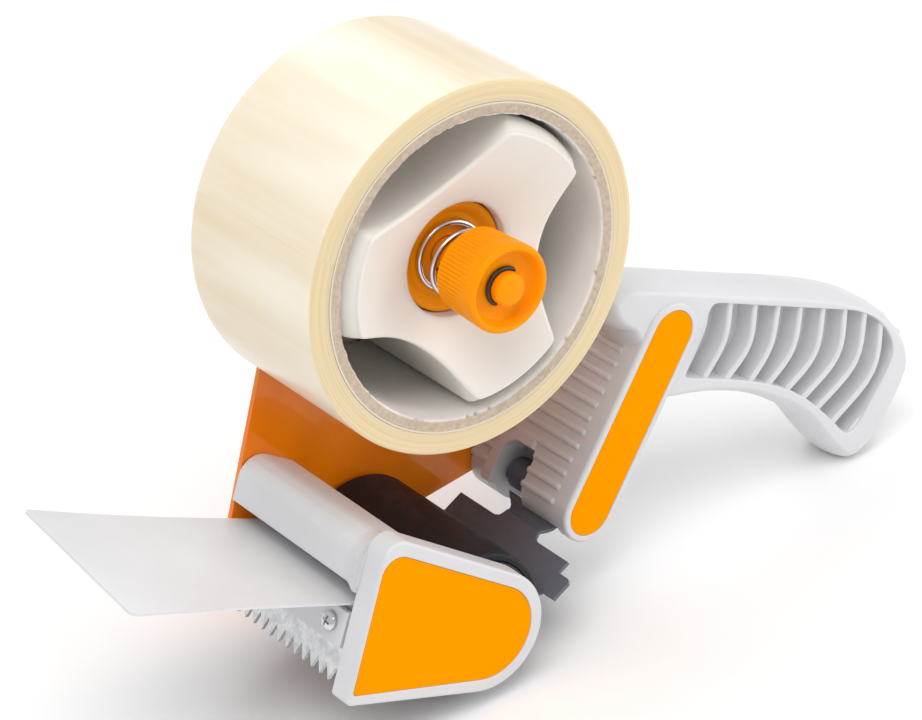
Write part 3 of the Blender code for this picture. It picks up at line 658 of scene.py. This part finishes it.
def screw(name, place, head_r, head_h, shank_r, length):
    """Pan-head screw with a cross recess; its head stands up along +Y of place from its seat at Y = 0."""
    profile = [(0, -length), (0.75 * shank_r, -length), (shank_r, 0.4 * shank_r - length), (shank_r, 0),
               (head_r - 0.1, 0), (head_r, 0.1), (head_r, 0.3 * head_h)]
    profile += [(head_r * cos(a), head_h * (0.3 + 0.7 * sin(a)))
                for a in (pi / 2 * i / 10 for i in range(1, 10))] + [(0, head_h)]
    made = turned(name, profile, steps=64)
    arm, half = 0.56 * head_r, 0.13 * head_r
    cross = [(half, arm), (half, half), (arm, half)]
    for _ in range(3):
        cross += [(z, -x) for x, z in cross[-3:]]
    floor, top = 0.35 * head_h, 1.4 * head_h
    cut(made, loft(f"{name}_cross", [[(x * 0.5, floor, z * 0.5) for x, z in cross],
                                     [(x, 0.85 * head_h, z) for x, z in cross],
                                     [(x * 1.1, top, z * 1.1) for x, z in cross]]))
    bake(made)
    made.data.transform(place)
    return made


def thread(radius, depth, pitch, near, far):
    """Rows of a threaded stretch for turned(), and the wobble that winds them."""
    rows = int((far - near) / pitch * 8)
    stations = [(radius, near + (far - near) * i / rows) for i in range(rows + 1)]

    def wobble(y, angle):
        phase = (y / pitch + angle / 360) % 1.0
        fade = min(1.0, (y - near) / pitch, (far - y) / pitch)
        return -depth * abs(2 * phase - 1) * max(0.0, fade)
    return stations, wobble


# ---- side plate

def make_side_plate():
    outline = (
        arc((0, 0), 23.0, 150, 82, 20)
        + rounded([(84, -8, 6), (91, -17, 5), (80, -68, 6), (64.5, -72, 3), (48.5, -81.3, 4), (44.5, -98, 9),
                   (34, -107.5, 9), (-14.5, -108.2, 3)])
        + [(-14.5, -30), (-19.9, 11.5)]
    )
    made = prism("pressed_plate", outline, PLATE_Y, PLATE_BACK)
    cut(made, rod("plate_hole", (0, 0), 2.9, PLATE_Y - 1, PLATE_BACK + 1),
        rod("plate_axle_hole", ROLLER, 3.3, PLATE_Y - 1, PLATE_BACK + 1))
    for i, spot in enumerate(HANDLE_SCREWS + GUARD_SCREWS):
        cut(made, rod(f"plate_hole_{i}", spot, 2.0, PLATE_Y - 1, PLATE_BACK + 1, 24))
    bake(made)
    bevel(made, 0.28)
    dress(made, LACQUER, "side_plate")


# ---- hub, knob and spindle

def lobed_outline():
    """Three lobes on the core's radius, with a waist cut in between by one arc each."""
    points = []
    for lobe in range(3):
        middle = LOBE_TURN + lobe * 120
        points += arc((0, 0), LOBE_R, middle - LOBE_HALF_ANGLE, middle + LOBE_HALF_ANGLE, 24)
        half = radians(60 - LOBE_HALF_ANGLE)
        chord, depth = LOBE_R * sin(half), LOBE_R * cos(half) - SCALLOP_R
        scallop_r = (chord**2 + depth**2) / (2 * depth)
        centre = on_circle((0, 0), SCALLOP_R + scallop_r, middle + 60)
        sweep = degrees(asin(min(1.0, chord / scallop_r)))
        points += arc(centre, scallop_r, middle + 240 + sweep, middle + 240 - sweep, 30)[1:-1]
    return softened(points, 0.5, 12)


def make_hub():
    """The near face is a shallow dish, cut square into the lobes; every rim is rounded afterwards."""
    outline = spin(lobed_outline())
    mouth_r, dish_r = POCKET_R + 0.4, HUB_RIM_R - 0.5
    slope = (HUB_RIM_Y - HUB_DISH_Y) / (dish_r - mouth_r)

    def face(r):
        return HUB_DISH_Y + slope * (r - mouth_r)

    # Rings from the pocket's mouth out over the face, round the rim and down the wall.
    centre_ring = [on_circle((0, 0), mouth_r, degrees(atan2(z, x))) for x, z in outline]
    rings = []
    for r, y in ((mouth_r - 0.4, POCKET_Y), (mouth_r - 0.4, HUB_DISH_Y + 0.7),
                 (mouth_r - 0.25, HUB_DISH_Y + 0.35), (mouth_r + 0.1, HUB_DISH_Y + 0.1),
                 (mouth_r + 0.5, face(mouth_r + 0.5))):
        rings.append([(x * r / mouth_r, y, z * r / mouth_r) for x, z in centre_ring])
    edge, steps = 1.3, 7
    for share in (0.15, 0.3, 0.45, 0.6, 0.75, 0.9):
        ring = [(cx + (x - cx) * share, cz + (z - cz) * share)
                for (x, z), (cx, cz) in zip(offset(outline, edge), centre_ring)]
        rings.append([(x, face(hypot(x, z)), z) for x, z in ring])
    taper = (LOBE_R - HUB_RIM_R) / (HUB_TAPER_Y - HUB_RIM_Y)

    def wall(x, z, y):
        """The lobes' tips draw in towards the near face."""
        r = hypot(x, z)
        limit = LOBE_R - max(0.0, HUB_TAPER_Y - y) * taper
        share = min(1.0, max(0.0, (r - HUB_ROOT_R) / (LOBE_R - HUB_ROOT_R))) ** 2
        r_new = r - (LOBE_R - limit) * share
        return x * r_new / r, z * r_new / r

    for step in range(steps + 1):
        a = pi / 2 * step / steps
        ring = []
        for x, z in offset(outline, edge * (1 - sin(a))):
            x1, z1 = wall(x, z, HUB_RIM_Y)
            ring.append((x1, face(hypot(x1, z1)) + edge * (1 - cos(a)), z1))
        rings.append(ring)
    for y in (-23.0, HUB_TAPER_Y, -20.0, 0.0, 26.0):
        ring = []
        for x, z in outline:
            top = face(hypot(*wall(x, z, HUB_RIM_Y))) + edge
            at = y if y == 26.0 else max(y, top + 0.3 * (y + 24.0))
            x1, z1 = wall(x, z, at)
            ring.append((x1, at, z1))
        rings.append(ring)
    for r, y in ((17.0, 26.0), (17.0, HUB_BACK_Y), (mouth_r - 0.4, HUB_BACK_Y)):
        rings.append([(x * r / mouth_r, y, z * r / mouth_r) for x, z in centre_ring])
    hub = loft("lobed_hub", rings, closed=True)
    web = [(5.3, POCKET_Y - 0.02), (16.0, POCKET_Y - 0.02), (16.0, 24.0), (5.3, 24.0)]
    flange = [(17.0, 25.4), (42.7, 25.4), (43.0, 25.6), (43.0, 26.2), (42.7, 26.4), (17.0, 26.4)]
    union(hub, turned("hub_web", web, steps=120), turned("hub_flange", flange, steps=144))
    dress(hub, HUB, "hub", "hub")


def make_spindle():
    foot_r, foot_y = 8.0, HUB_BACK_Y + 0.6
    stations, winding = thread(4.1, 0.4, 1.5, -34.6, -12.4)
    profile = [(0, PLATE_Y - GAP), (foot_r, PLATE_Y - GAP), (foot_r, foot_y), (5.0, foot_y), (5.0, -11.6),
               (4.8, -11.9), (4.15, -12.3)]
    first = len(profile)
    profile += stations[::-1]
    last = len(profile)
    profile += [(4.1, -35.3), (3.9, -35.4), (3.9, -36.5), (4.15, -36.7), (4.15, -38.3), (4.0, -38.75),
                (3.6, -39.1), (3.0, -39.3), (2.0, -39.5), (1.0, -39.58), (0, -39.6)]

    def wobble(row, radius, y, angle):
        return (radius + winding(y, angle), y) if first <= row < last else (radius, y)
    spindle = turned("threaded_spindle", profile, steps=72, wobble=wobble)
    cut(spindle, rod("spindle_bore", (0, 0), 2.6, 12.0, PLATE_BACK))
    dress(spindle, ORANGE, "spindle")

    rim = [(4.7, -12.6), (13.3, -12.6), (13.8, -12.9), (14.0, -13.3), (14.0, -15.1), (13.9, -15.4),
           (13.6, -15.58), (13.2, -15.6), (12.8, -15.5), (12.3, -15.1), (10.9, -13.85), (10.4, -13.62),
           (9.8, WASHER_DISH_Y), (4.7, WASHER_DISH_Y)]
    dress(turned("dished_washer", rim), ORANGE, "pressure_washer")

    clip = wire("clip_ring", [Vector((x, -36.0, z)) for x, z in arc((0, 0), 4.5, 62, 262, 30)], 0.58)
    dress(clip, CLIP, "spindle_clip")


def make_knob():
    smooth = [(4.5, -35.4), (7.4, -35.45), (8.1, -35.6), (8.6, -36.1), (9.3, -37.7), (9.5, -38.1),
              (9.8, -38.38), (10.15, -38.5), (10.55, -38.44), (10.9, -38.2), (11.12, -37.75), (11.2, -37.1)]
    ribbed = [(11.2 - 0.035 * i, -36.6 + 0.79 * i) for i in range(16)]
    rear = [(10.6, -24.4), (9.9, -24.4), (9.6, -24.7), (9.6, -33.6), (4.5, -33.6)]
    first, last = len(smooth), len(smooth) + len(ribbed)

    def wobble(row, radius, y, angle):
        if not first <= row < last:
            return radius, y
        depth = 0.34 * min(1.0, max(0.0, (y + 36.4) / 5.0))
        return radius - depth * (0.5 - 0.5 * cos(radians(64 * angle))), y
    knob = turned("ribbed_knob", smooth + ribbed + rear, steps=640, wobble=wobble)
    dress(knob, ORANGE, "knob", "knob", sharp=50)


def make_tension_spring():
    """Flat closed coils at both ends and wide open turns between, wound clockwise towards the knob."""
    radius, wire_r = 8.5, 0.78
    guides = [(-0.5, -14.3), (0.0, -14.35), (0.45, -14.4), (0.86, -14.6), (1.15, -15.9), (1.86, -20.4),
              (2.5, -24.6), (3.0, -28.2), (3.35, -30.7), (3.6, -31.6), (4.1, -31.75), (4.6, -31.8)]
    path = []
    for turns, y in smooth_through(guides, 30):
        turn = radians(104 - 360 * turns)
        path.append(Vector((radius * cos(turn), y, radius * sin(turn))))
    spring = wire("pressure_coil", path, wire_r, 16)
    dress(spring, WIRE, "tension_spring")
    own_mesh(spring)


# ---- tape

def make_tape():
    chance = random.Random(5)
    steps = 300
    torn = [chance.uniform(-1, 1) for _ in range(steps)]
    torn = [(torn[i - 1] + 2 * torn[i] + torn[(i + 1) % steps]) / 3 for i in range(steps)]
    nicks = {chance.randrange(steps): chance.uniform(0.3, 0.8) for _ in range(14)}

    def wobble(row, radius, y, angle):
        i = round(angle / 360 * steps) % steps
        if row in (0, 6):
            return radius + 0.22 * torn[i] + nicks.get(i, 0.0), y
        if row in (1, 5):
            return radius, y - copysign(0.10 * abs(torn[i - 7]), y)
        return radius, y
    half = TAPE_HALF
    bore = BORE_R + 0.05
    profile = [(bore, half - 0.6), (bore + 0.5, half), (CORE_R, half), (CORE_R, 0.0), (CORE_R, -half),
               (bore + 0.5, -half), (bore, 0.6 - half), (bore, 1.6 - half), (bore, half - 1.6)]
    core = turned("paper_core", profile, steps=steps, wobble=wobble)
    dress(core, CARD, "tape_core", "roll", sharp=60)

    inner = CORE_R + 0.1
    rim = round_rim(TAPE_R, half, 0.6, 4)
    profile = [(inner, half - 0.1), (inner + 0.3, half)] + rim + [(x, -y) for x, y in rim[::-1]]
    profile += [(inner + 0.3, -half), (inner, 0.1 - half)]
    dress(turned("wound_tape", profile, steps=240), FILM, "tape_roll", "roll")


# ---- guard, wiper, blade

def cheek_outline(inset=0.0, front=0.0):
    """Outline of the guard's near cheek: straight front, round rear over the roller."""
    rear = [(x, z, 0) for x, z in arc(CHEEK_REAR, CHEEK_REAR_R - inset, 77.5, -86.0, 30)]
    top = (-11.5 + front, -64.2 - 1.13 * inset, 5.0)
    bottom = (-10.6 + front, -108.7 + 0.8 * inset, 1.2)
    return rounded([top] + rear + [bottom], 10)


def blade_screw_place(x, side):
    """Where a screw of the blade crosses the plane at x, with its own Y along the tool's X."""
    spot = Matrix.Translation((x, side * BLADE_SCREW_Y, BLADE_SCREW_Z))
    return spot @ Matrix.Rotation(radians(90), 4, "Z")


def blade_screw_holes(name, x):
    holes = []
    for side in (-1, 1):
        holes.append(rod(f"{name}_{side + 1}", (0, 0), 1.7, -4, 4, 24))
        holes[-1].data.transform(blade_screw_place(x, side))
    return holes


def make_guard():
    section = rounded([
        (-12.0, -80.5, 0.6), (-12.0, -66.6, 6.0), (4.5, -69.8, 1.5), (4.5, -89.6, 0.5),
        (SHELF_X + 2.5, -89.6, 0.4), (SHELF_X + 2.5, -97.0, 0.4), (SHELF_X, -97.0, 0.4), (SHELF_X, -87.4, 0.4),
        (1.5, -86.0, 0.3), (1.5, -84.2, 0.3), (-3.0, -84.2, 0.3), (-3.0, -80.5, 0.4),
    ])
    guard = prism("moulded_guard", section, CHEEK_FAR_Y - 1, GUARD_FAR_Y)
    flare = rounded([(-12.0, -80.0, 0.6), (-12.0, -66.6, 6.0), (4.5, -69.8, 1.5), (4.5, -80.0, 0.6)], 8)
    swell = [(CHEEK_FAR_Y - 0.6, -1.7)]
    swell += [(CHEEK_FAR_Y + 0.5 * i, 0.05 - 1.5 * (1 - sin(pi / 24 * i))) for i in range(13)]
    union(guard, layered("guard_flare", flare, swell))
    union(guard, prism("guard_cheek", cheek_outline(), CHEEK_NEAR_Y, CHEEK_FAR_Y, edge=0.9, far_edge=0.8))
    cut(guard, film_recess("guard_recess", cheek_outline(3.5, 0.7), CHEEK_NEAR_Y),
        rod("guard_axle_hole", ROLLER, 3.3, CHEEK_NEAR_Y + 2.2, CHEEK_FAR_Y + 1))
    for i, spot in enumerate(GUARD_SCREWS):
        cut(guard, rod(f"guard_hole_{i}", spot, 1.8, GUARD_FAR_Y - 11, GUARD_FAR_Y + 1, 24))
    cut(guard, *blade_screw_holes("guard_blade_hole", SHELF_X))
    dress(guard, GREY, "guard")
    label = film_on("cheek_film", cheek_outline(3.6, 0.8), CHEEK_NEAR_Y)
    dress(label, LABEL, "cheek_label")


def make_wiper():
    half, corner, thick = WIPER_HALF, 2.0, 0.55
    length = WIPER_ROOT_X - WIPER_TIP_X
    across = 24
    distances = [0.0, 0.15, length - 0.02] + [length * i / 40 for i in range(1, 39)]
    distances += [length - corner * (1 - sin(pi / 16 * i)) for i in range(8)]
    rings = []
    for along in sorted(distances):
        x = WIPER_ROOT_X - along
        past = max(0.0, along - (length - corner))
        width = half - corner + sqrt(max(0.0, corner**2 - past**2))
        lift = (along / 75.0) ** 2
        ys = [width * (2 * k / across - 1) for k in range(across + 1)]
        middle = [(y, WIPER_Z + lift * (0.75 + 2.15 * y / 25.0)) for y in ys]
        rings.append([(x, y, z + thick / 2) for y, z in middle]
                     + [(x, y, z - thick / 2) for y, z in middle[::-1]])
    made = loft("wiper_sheet", rings)
    bevel(made, 0.12, 50)
    dress(made, WIPER, "wiper", "wiper")


def make_blade():
    blade_x = SHELF_X - GAP - 0.5
    clamp_x = blade_x - 0.5 - GAP - 0.8
    strip = rounded([(-87.8, -25.1, 0.6), (-87.8, 25.1, 0.6), (-97.2, 25.1, 0.6), (-97.2, -25.1, 0.6)], 4)
    clamp = plate("clamp_strip", strip, lambda z: (clamp_x, z, 1, 0), 1.6)
    cut(clamp, *blade_screw_holes("clamp_hole", clamp_x))
    bake(clamp)
    bevel(clamp, 0.25, 50)
    dress(clamp, GREY, "blade_clamp")
    seat = clamp_x - 0.8 - GAP
    for side, name in ((-1, "near"), (1, "far")):
        turn = Matrix.Rotation(radians(27 * side + 12), 4, "Y")
        made = screw(f"clamp_screw_{name}", blade_screw_place(seat, side) @ turn, 2.5, 1.45, 1.3, 5.6)
        dress(made, ZINC, f"blade_screw_{name}")


# ---- roller

def make_roller():
    near, far = ROLLER_NEAR_Y, ROLLER_FAR_Y
    rim = round_rim(ROLLER_R, far, 0.9, 5)
    other = [(x, far + near - y) for x, y in rim[::-1]]
    inner = ROLLER_R - 1.8
    sleeve = turned("rubber_sleeve", [(inner, far), *rim, *other, (inner, near)], ROLLER, 128)
    dress(sleeve, RUBBER, "roller_sleeve", "roller")

    def hexagon(row, radius, y, angle):
        flat = 4.6 * cos(radians(30)) / cos(radians((angle % 60) - 30))
        return (min(radius, flat) if radius > 3 else radius), y
    base = PLATE_BACK + GAP
    profile = [(2.5, base), (4.2, base), (4.7, base + 0.25), (4.7, base + 2.7), (4.1, base + 3.1),
               (2.6, base + 3.1)]
    nut = turned("axle_nut", profile, ROLLER, 120, hexagon)
    dress(nut, ZINC, "roller_axle_nut", sharp=25)


# ---- handle

def grip_outline():
    """Side view of the grip at its middle: nose over the ribs, level top, hooked butt, finger curve."""
    return smooth_through([
        (76, -24), (69, -20.6), (62.0, -17.2), (58.3, -11.6), (62.6, -6.8), (72, GRIP_TOP_Z), (100, GRIP_TOP_Z),
        (134, GRIP_TOP_Z), (152, -7.6), (166, -13.4), (174, -22.0), (174.6, -31.0), (171.6, -42.0),
        (168.6, -49.0), (161.6, -53.6), (151.8, -49.4), (138.0, -40.8), (119, -36.0), (102, -35.6), (84, -37.4),
        (76, -30), (74, -20),
    ], 3)


def crowned(name, outline, near, far, edge, layers):
    """An outline extruded along Y whose rim falls away elliptically by edge towards both faces."""
    middle, half = (near + far) / 2, (far - near) / 2
    turns = (pi * i / layers for i in range(layers + 1))
    levels = [(middle - half * cos(a), 0.05 + edge * (1 - sin(a))) for a in turns]
    return layered(name, outline, levels, 4)


def grip_recess():
    """The hollow in each side of the grip, inside an even rim."""
    return softened([(93.4, -9.7)] + smooth_through([
        (130, -9.7), (146, -9.9), (156, -12.2), (163.0, -16.9), (166.0, -23), (163.0, -35.0), (158.6, -45.0),
        (149, -40.6), (137, -34.9), (124, -31.6), (108, -30.4), (90.8, -30.4), (70, -30.6),
    ], 8), 0.8, 8)


GRIP_RIBS = (
    ((91.8, -8.6), (93.4, -16.0), (92.4, -23.4), (90.6, -31.6)),
    ((100.3, -8.6), (102.3, -20.0), (98.7, -31.6)),
    ((109.3, -8.6), (111.6, -21.0), (106.6, -31.6)),
    ((117.9, -8.6), (119.6, -21.4), (115.4, -32.4)),
    ((126.2, -8.6), (128.1, -21.8), (122.2, -33.0)),
    ((134.7, -8.6), (136.9, -22.8), (129.4, -34.6)),
    ((143.0, -8.6), (145.6, -23.2), (136.5, -36.8)),
    ((151.0, -9.4), (153.2, -24.9), (143.0, -39.4)),
    ((158.0, -10.8), (161.0, -27.3), (150.8, -43.0)),
    ((165.9, -15.2), (166.4, -31.7), (158.2, -47.0)),
)


def strip(points, width):
    """Outline of a band of even width along a smooth curve through the points."""
    first, last = Vector(points[0]), Vector(points[-1])
    guides = [tuple(first * 2 - Vector(points[1])), *points, tuple(last * 2 - Vector(points[-2]))]
    curve = [Vector(p) for p in smooth_through(guides, 5)]
    sides = ([], [])
    for i, here in enumerate(curve):
        along = (curve[min(i + 1, len(curve) - 1)] - curve[max(i - 1, 0)]).normalized()
        out = Vector((-along.y, along.x)) * width / 2
        sides[0].append(tuple(here + out))
        sides[1].append(tuple(here - out))
    return sides[0] + sides[1][::-1]


def make_handle():
    low, high = Vector(COLUMN_LOW), Vector(COLUMN_HIGH)
    lean = (high - low).normalized()
    out = Vector((-lean.y, lean.x))
    handle = prism("moulded_handle", pill(low, high, COLUMN_R, 40), COLUMN_NEAR_Y, PLATE_Y - GAP, edge=0.9,
                   far_edge=0.0)
    union(handle, crowned("grip_body", grip_outline(), GRIP_NEAR_Y, GRIP_FAR_Y, GRIP_EDGE, 20))
    near_floor, far_floor = GRIP_NEAR_Y + GRIP_RECESS, GRIP_FAR_Y - GRIP_RECESS
    cut(handle, hollow("recess_near", grip_recess(), GRIP_NEAR_Y, near_floor, 0.5, 0.7),
        hollow("recess_far", grip_recess(), GRIP_FAR_Y, far_floor, 0.5, 0.7))
    bake(handle)
    # Ribs across both recesses.
    ribs = []
    for i, points in enumerate(GRIP_RIBS):
        band = strip(points, 1.9)
        ribs.append(prism(f"rib_near_{i}", band, GRIP_NEAR_Y + 0.7, near_floor + 0.6, edge=0.7, far_edge=0.0))
        ribs.append(prism(f"rib_far_{i}", band, far_floor - 0.6, GRIP_FAR_Y - 0.7, edge=0.0, far_edge=0.7))
    union(handle, joined(*ribs))
    # Ribs across the front of the column.
    bars = []
    for i in range(13):
        middle = low + lean * (-1.1 + BAR_PITCH * i) + out * (COLUMN_R - 0.6)
        crest = middle + out * 0.4
        bar = pill(middle, crest, 0.95, 10)
        bars.append(prism(f"bar_{i}", bar, -7.6, PLATE_Y - GAP, edge=0.7, far_edge=0.0))
    union(handle, joined(*bars))
    bake(handle)

    def on_column(y, along, outward):
        place = low + lean * along + out * outward
        return (place.x, y, place.y)

    # Collar on the ribbed face, the mouth inside it and the chamber behind them for the flap's neck and spring.
    rim = spin(rounded([(6.5, -5.8, 1.2), (20.2, -5.8, 1.6), (20.2, 10.6, 8.0), (6.5, 10.6, 1.2)], 7))
    levels = ((5.53, 0), (8.75, 0), (9.1, 0.12), (9.27, 0.42))
    union(handle, loft("mouth_collar", [[on_column(y, along, outward) for y, along in offset(rim, inset)]
                                        for outward, inset in levels]))
    bake(handle)
    mouth = [[on_column(y, along, outward) for y, along in
              rounded([(5.3, -16, 0.1), (16.5, -16, 0.1), (16.5, top, 4.5), (5.3, top, 1.2)], 10)]
             for outward, top in ((0.5, 5.6), (7.6, 7.4), (12.0, 8.4))]
    chamber = [(-16, -4.7)] + arc((-0.55, 1.5), 6.2, -90, 31, 24) + [(3.2, 4.7), (-16, 4.7)]
    cut(handle, prism("chamber", [on_column(0, *spot)[::2] for spot in chamber], -9.0, 16.5))
    cut(handle, loft("mouth", mouth),
        film_recess("label_recess", pill(low, high, LABEL_R, 40), COLUMN_NEAR_Y),
        rod("pin_hole", PIN, 1.9, -11.5, 20.5))
    for i, spot in enumerate(HANDLE_SCREWS):
        cut(handle, rod(f"handle_hole_{i}", spot, 2.0, PLATE_Y - 12, PLATE_Y + 1, 24))
    dress(handle, GREY, "handle")
    label = film_on("column_film", pill(low, high, LABEL_R - 0.1, 40), COLUMN_NEAR_Y)
    dress(label, LABEL, "handle_label")


# ---- retainer flap

def make_flap():
    bend, edge = Vector((60.4, -74.6)), Vector((50.7, -86.7))
    fall = (edge - bend).normalized()
    length = (edge - bend).length
    half, tab = 22.5, 27.5

    def wing(along):
        here = bend + fall * along
        return (here.x, here.y, -fall.y, fall.x)

    def flank(tab_top):
        foot = length - 2.4
        return [(3.0, half), (tab_top, half), (tab_top, tab - 1), (tab_top + 1, tab), (foot, tab),
                (foot, half + 0.4), (length, half - 1.5)]
    outline = flank(9.8) + [(along, -y) for along, y in flank(6.6)[::-1]]
    near, far = -8.0, 6.0
    outline += [(3.0, near - 2), (2.4, near - 0.6), (1.0, near), (0.3, near), (0.3, far), (1.0, far),
                (2.4, far + 0.6), (3.0, far + 2)]
    made = plate("pressed_flap", outline, wing, 1.0)

    # Neck from the wing up round the pin: stations of (x, z), near y and far y.
    stations = [((60.1, -74.95), -8.0, 6.0), ((61.4, -74.85), -7.9, 6.5), ((63.0, -74.6), -7.8, 8.0),
                ((64.4, -74.15), -7.8, 10.0), ((65.5, -73.4), -7.8, 12.0), ((66.3, -72.4), -7.8, 13.4)]
    rings = []
    for i, ((x, z), y_near, y_far) in enumerate(stations):
        before, after = Vector(stations[max(i - 1, 0)][0]), Vector(stations[min(i + 1, len(stations) - 1)][0])
        normal = (after - before).normalized().orthogonal() * 0.45
        rings.append([(x + normal.x * side, y, z + normal.y * side)
                      for side, y in ((1, y_near), (1, y_far), (-1, y_far), (-1, y_near))])
    union(made, loft("flap_neck", rings))
    bake(made)
    bevel(made, 0.22, 50)
    bake(made)
    eye = turned("flap_eye", [(1.9, -0.4), (2.9, -0.4), (2.9, -7.8), (1.9, -7.8)], PIN, 48)
    stem = [(66.3, -67.6), (65.9, -72.3), (66.7, -72.7), (67.8, -70.2), (67.1, -67.6)]
    union(made, eye, prism("flap_stem", stem, -7.8, -0.4))
    dress(made, DARK_STEEL, "retainer_flap", "flap")

    turns, per_turn, radius = 12, 28, 4.0
    path = []
    for i in range(turns * per_turn + 1):
        turn = radians(200) + 2 * pi * i / per_turn
        path.append(Vector((PIN[0] + radius * cos(turn), 5.9 + 9.0 * i / (turns * per_turn),
                            PIN[1] + radius * sin(turn))))
    coil = wire("flap_coil", path, 0.36, 12)
    dress(coil, DARK_STEEL, "torsion_spring")


def make_screws():
    seat = PLATE_BACK + GAP
    kinds = (("pan_screw", "handle_screw", HANDLE_SCREWS, 0.9, (3.8, 1.9, 1.7, 11.8)),
             ("small_screw", "guard_screw", GUARD_SCREWS, 0.7, (2.8, 1.6, 1.5, 10.8)))
    for name, node, spots, turn, sizes in kinds:
        for i, (x, z) in enumerate(spots, 1):
            place = Matrix.Translation((x, seat, z)) @ Matrix.Rotation(turn * i, 4, "Y")
            dress(screw(f"{name}_{i}", place, *sizes), ZINC, f"{node}_{i}")
    centre = screw("centre_screw", Matrix.Translation((0, seat, 0)), 5.2, 2.5, 2.3, 15.8)
    dress(centre, ZINC, "spindle_screw")


def carry_over(look, *names):
    for name in names:
        for material_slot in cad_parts[name].material_slots:
            material_slot.material = look


# ---- staging

CAMERA_LENS = 133.95
CAMERA_AT = (-521.5, -605.7, 190.5)
# Its right, up and back directions in the design frame.
CAMERA_AXES = ((0.7622, -0.5963, 0.2516), (-0.0236, 0.363, 0.9314), (-0.6469, -0.716, 0.2626))


def make_camera():
    data = bpy.data.cameras.new("camera")
    data.lens = CAMERA_LENS
    data.sensor_width = 36.0
    data.clip_end = 20
    camera = new_object("camera", data)
    turn = Matrix(CAMERA_AXES).transposed().to_quaternion()
    camera.matrix_world = STAND @ Matrix.LocRotScale(Vector(CAMERA_AT) * MM, turn, None)
    bpy.context.scene.camera = camera


def soft_light(name, at, size, power):
    """Area light aimed at the middle of the object."""
    data = bpy.data.lights.new(name, "AREA")
    data.shape = "RECTANGLE"
    data.size, data.size_y = size
    data.energy = power
    light = new_object(name, data)
    light.location = at
    light.rotation_euler = (Vector((0.0, 0.0, 0.08)) - Vector(at)).to_track_quat("-Z", "Y").to_euler()


def make_stage():
    bm = bmesh.new()
    bmesh.ops.create_grid(bm, x_segments=1, y_segments=1, size=8.0)
    floor = made_of("floor", bm)
    pale = Look("pale_floor", (0.96, 0.96, 0.96), 0.8)
    pale.paint(pale.mixed(pale.noise(3.0, 2.0), (0.955, 0.955, 0.955), (0.965, 0.965, 0.965)))
    floor.data.materials.append(pale.material)
    world = bpy.data.worlds.new("studio")
    world.use_nodes = True
    background = world.node_tree.nodes["Background"]
    background.inputs["Color"].default_value = (1.0, 1.0, 1.0, 1.0)
    background.inputs["Strength"].default_value = 0.6
    scene = bpy.context.scene
    scene.world = world
    scene.view_settings.view_transform = "Standard"
    soft_light("key", (-0.42, -0.42, 1.35), (1.0, 1.0), 10.5)
    soft_light("fill", (1.1, -0.85, 0.4), (0.9, 0.9), 5.5)
    soft_light("rear", (0.5, 0.9, 1.0), (0.8, 0.5), 3.4)


make_camera()
make_stage()
make_side_plate()
make_hub()
make_spindle()
make_knob()
make_tension_spring()
make_tape()
make_guard()
make_wiper()
make_blade()
make_roller()
make_handle()
make_flap()
make_screws()
carry_over(GALVANISED, "blade")
carry_over(ZINC, "spring_seat", "roller_axle")
carry_over(DARK_STEEL, "flap_pin")
carry_over(DARK_PLASTIC, "roller_core", "friction_washer")
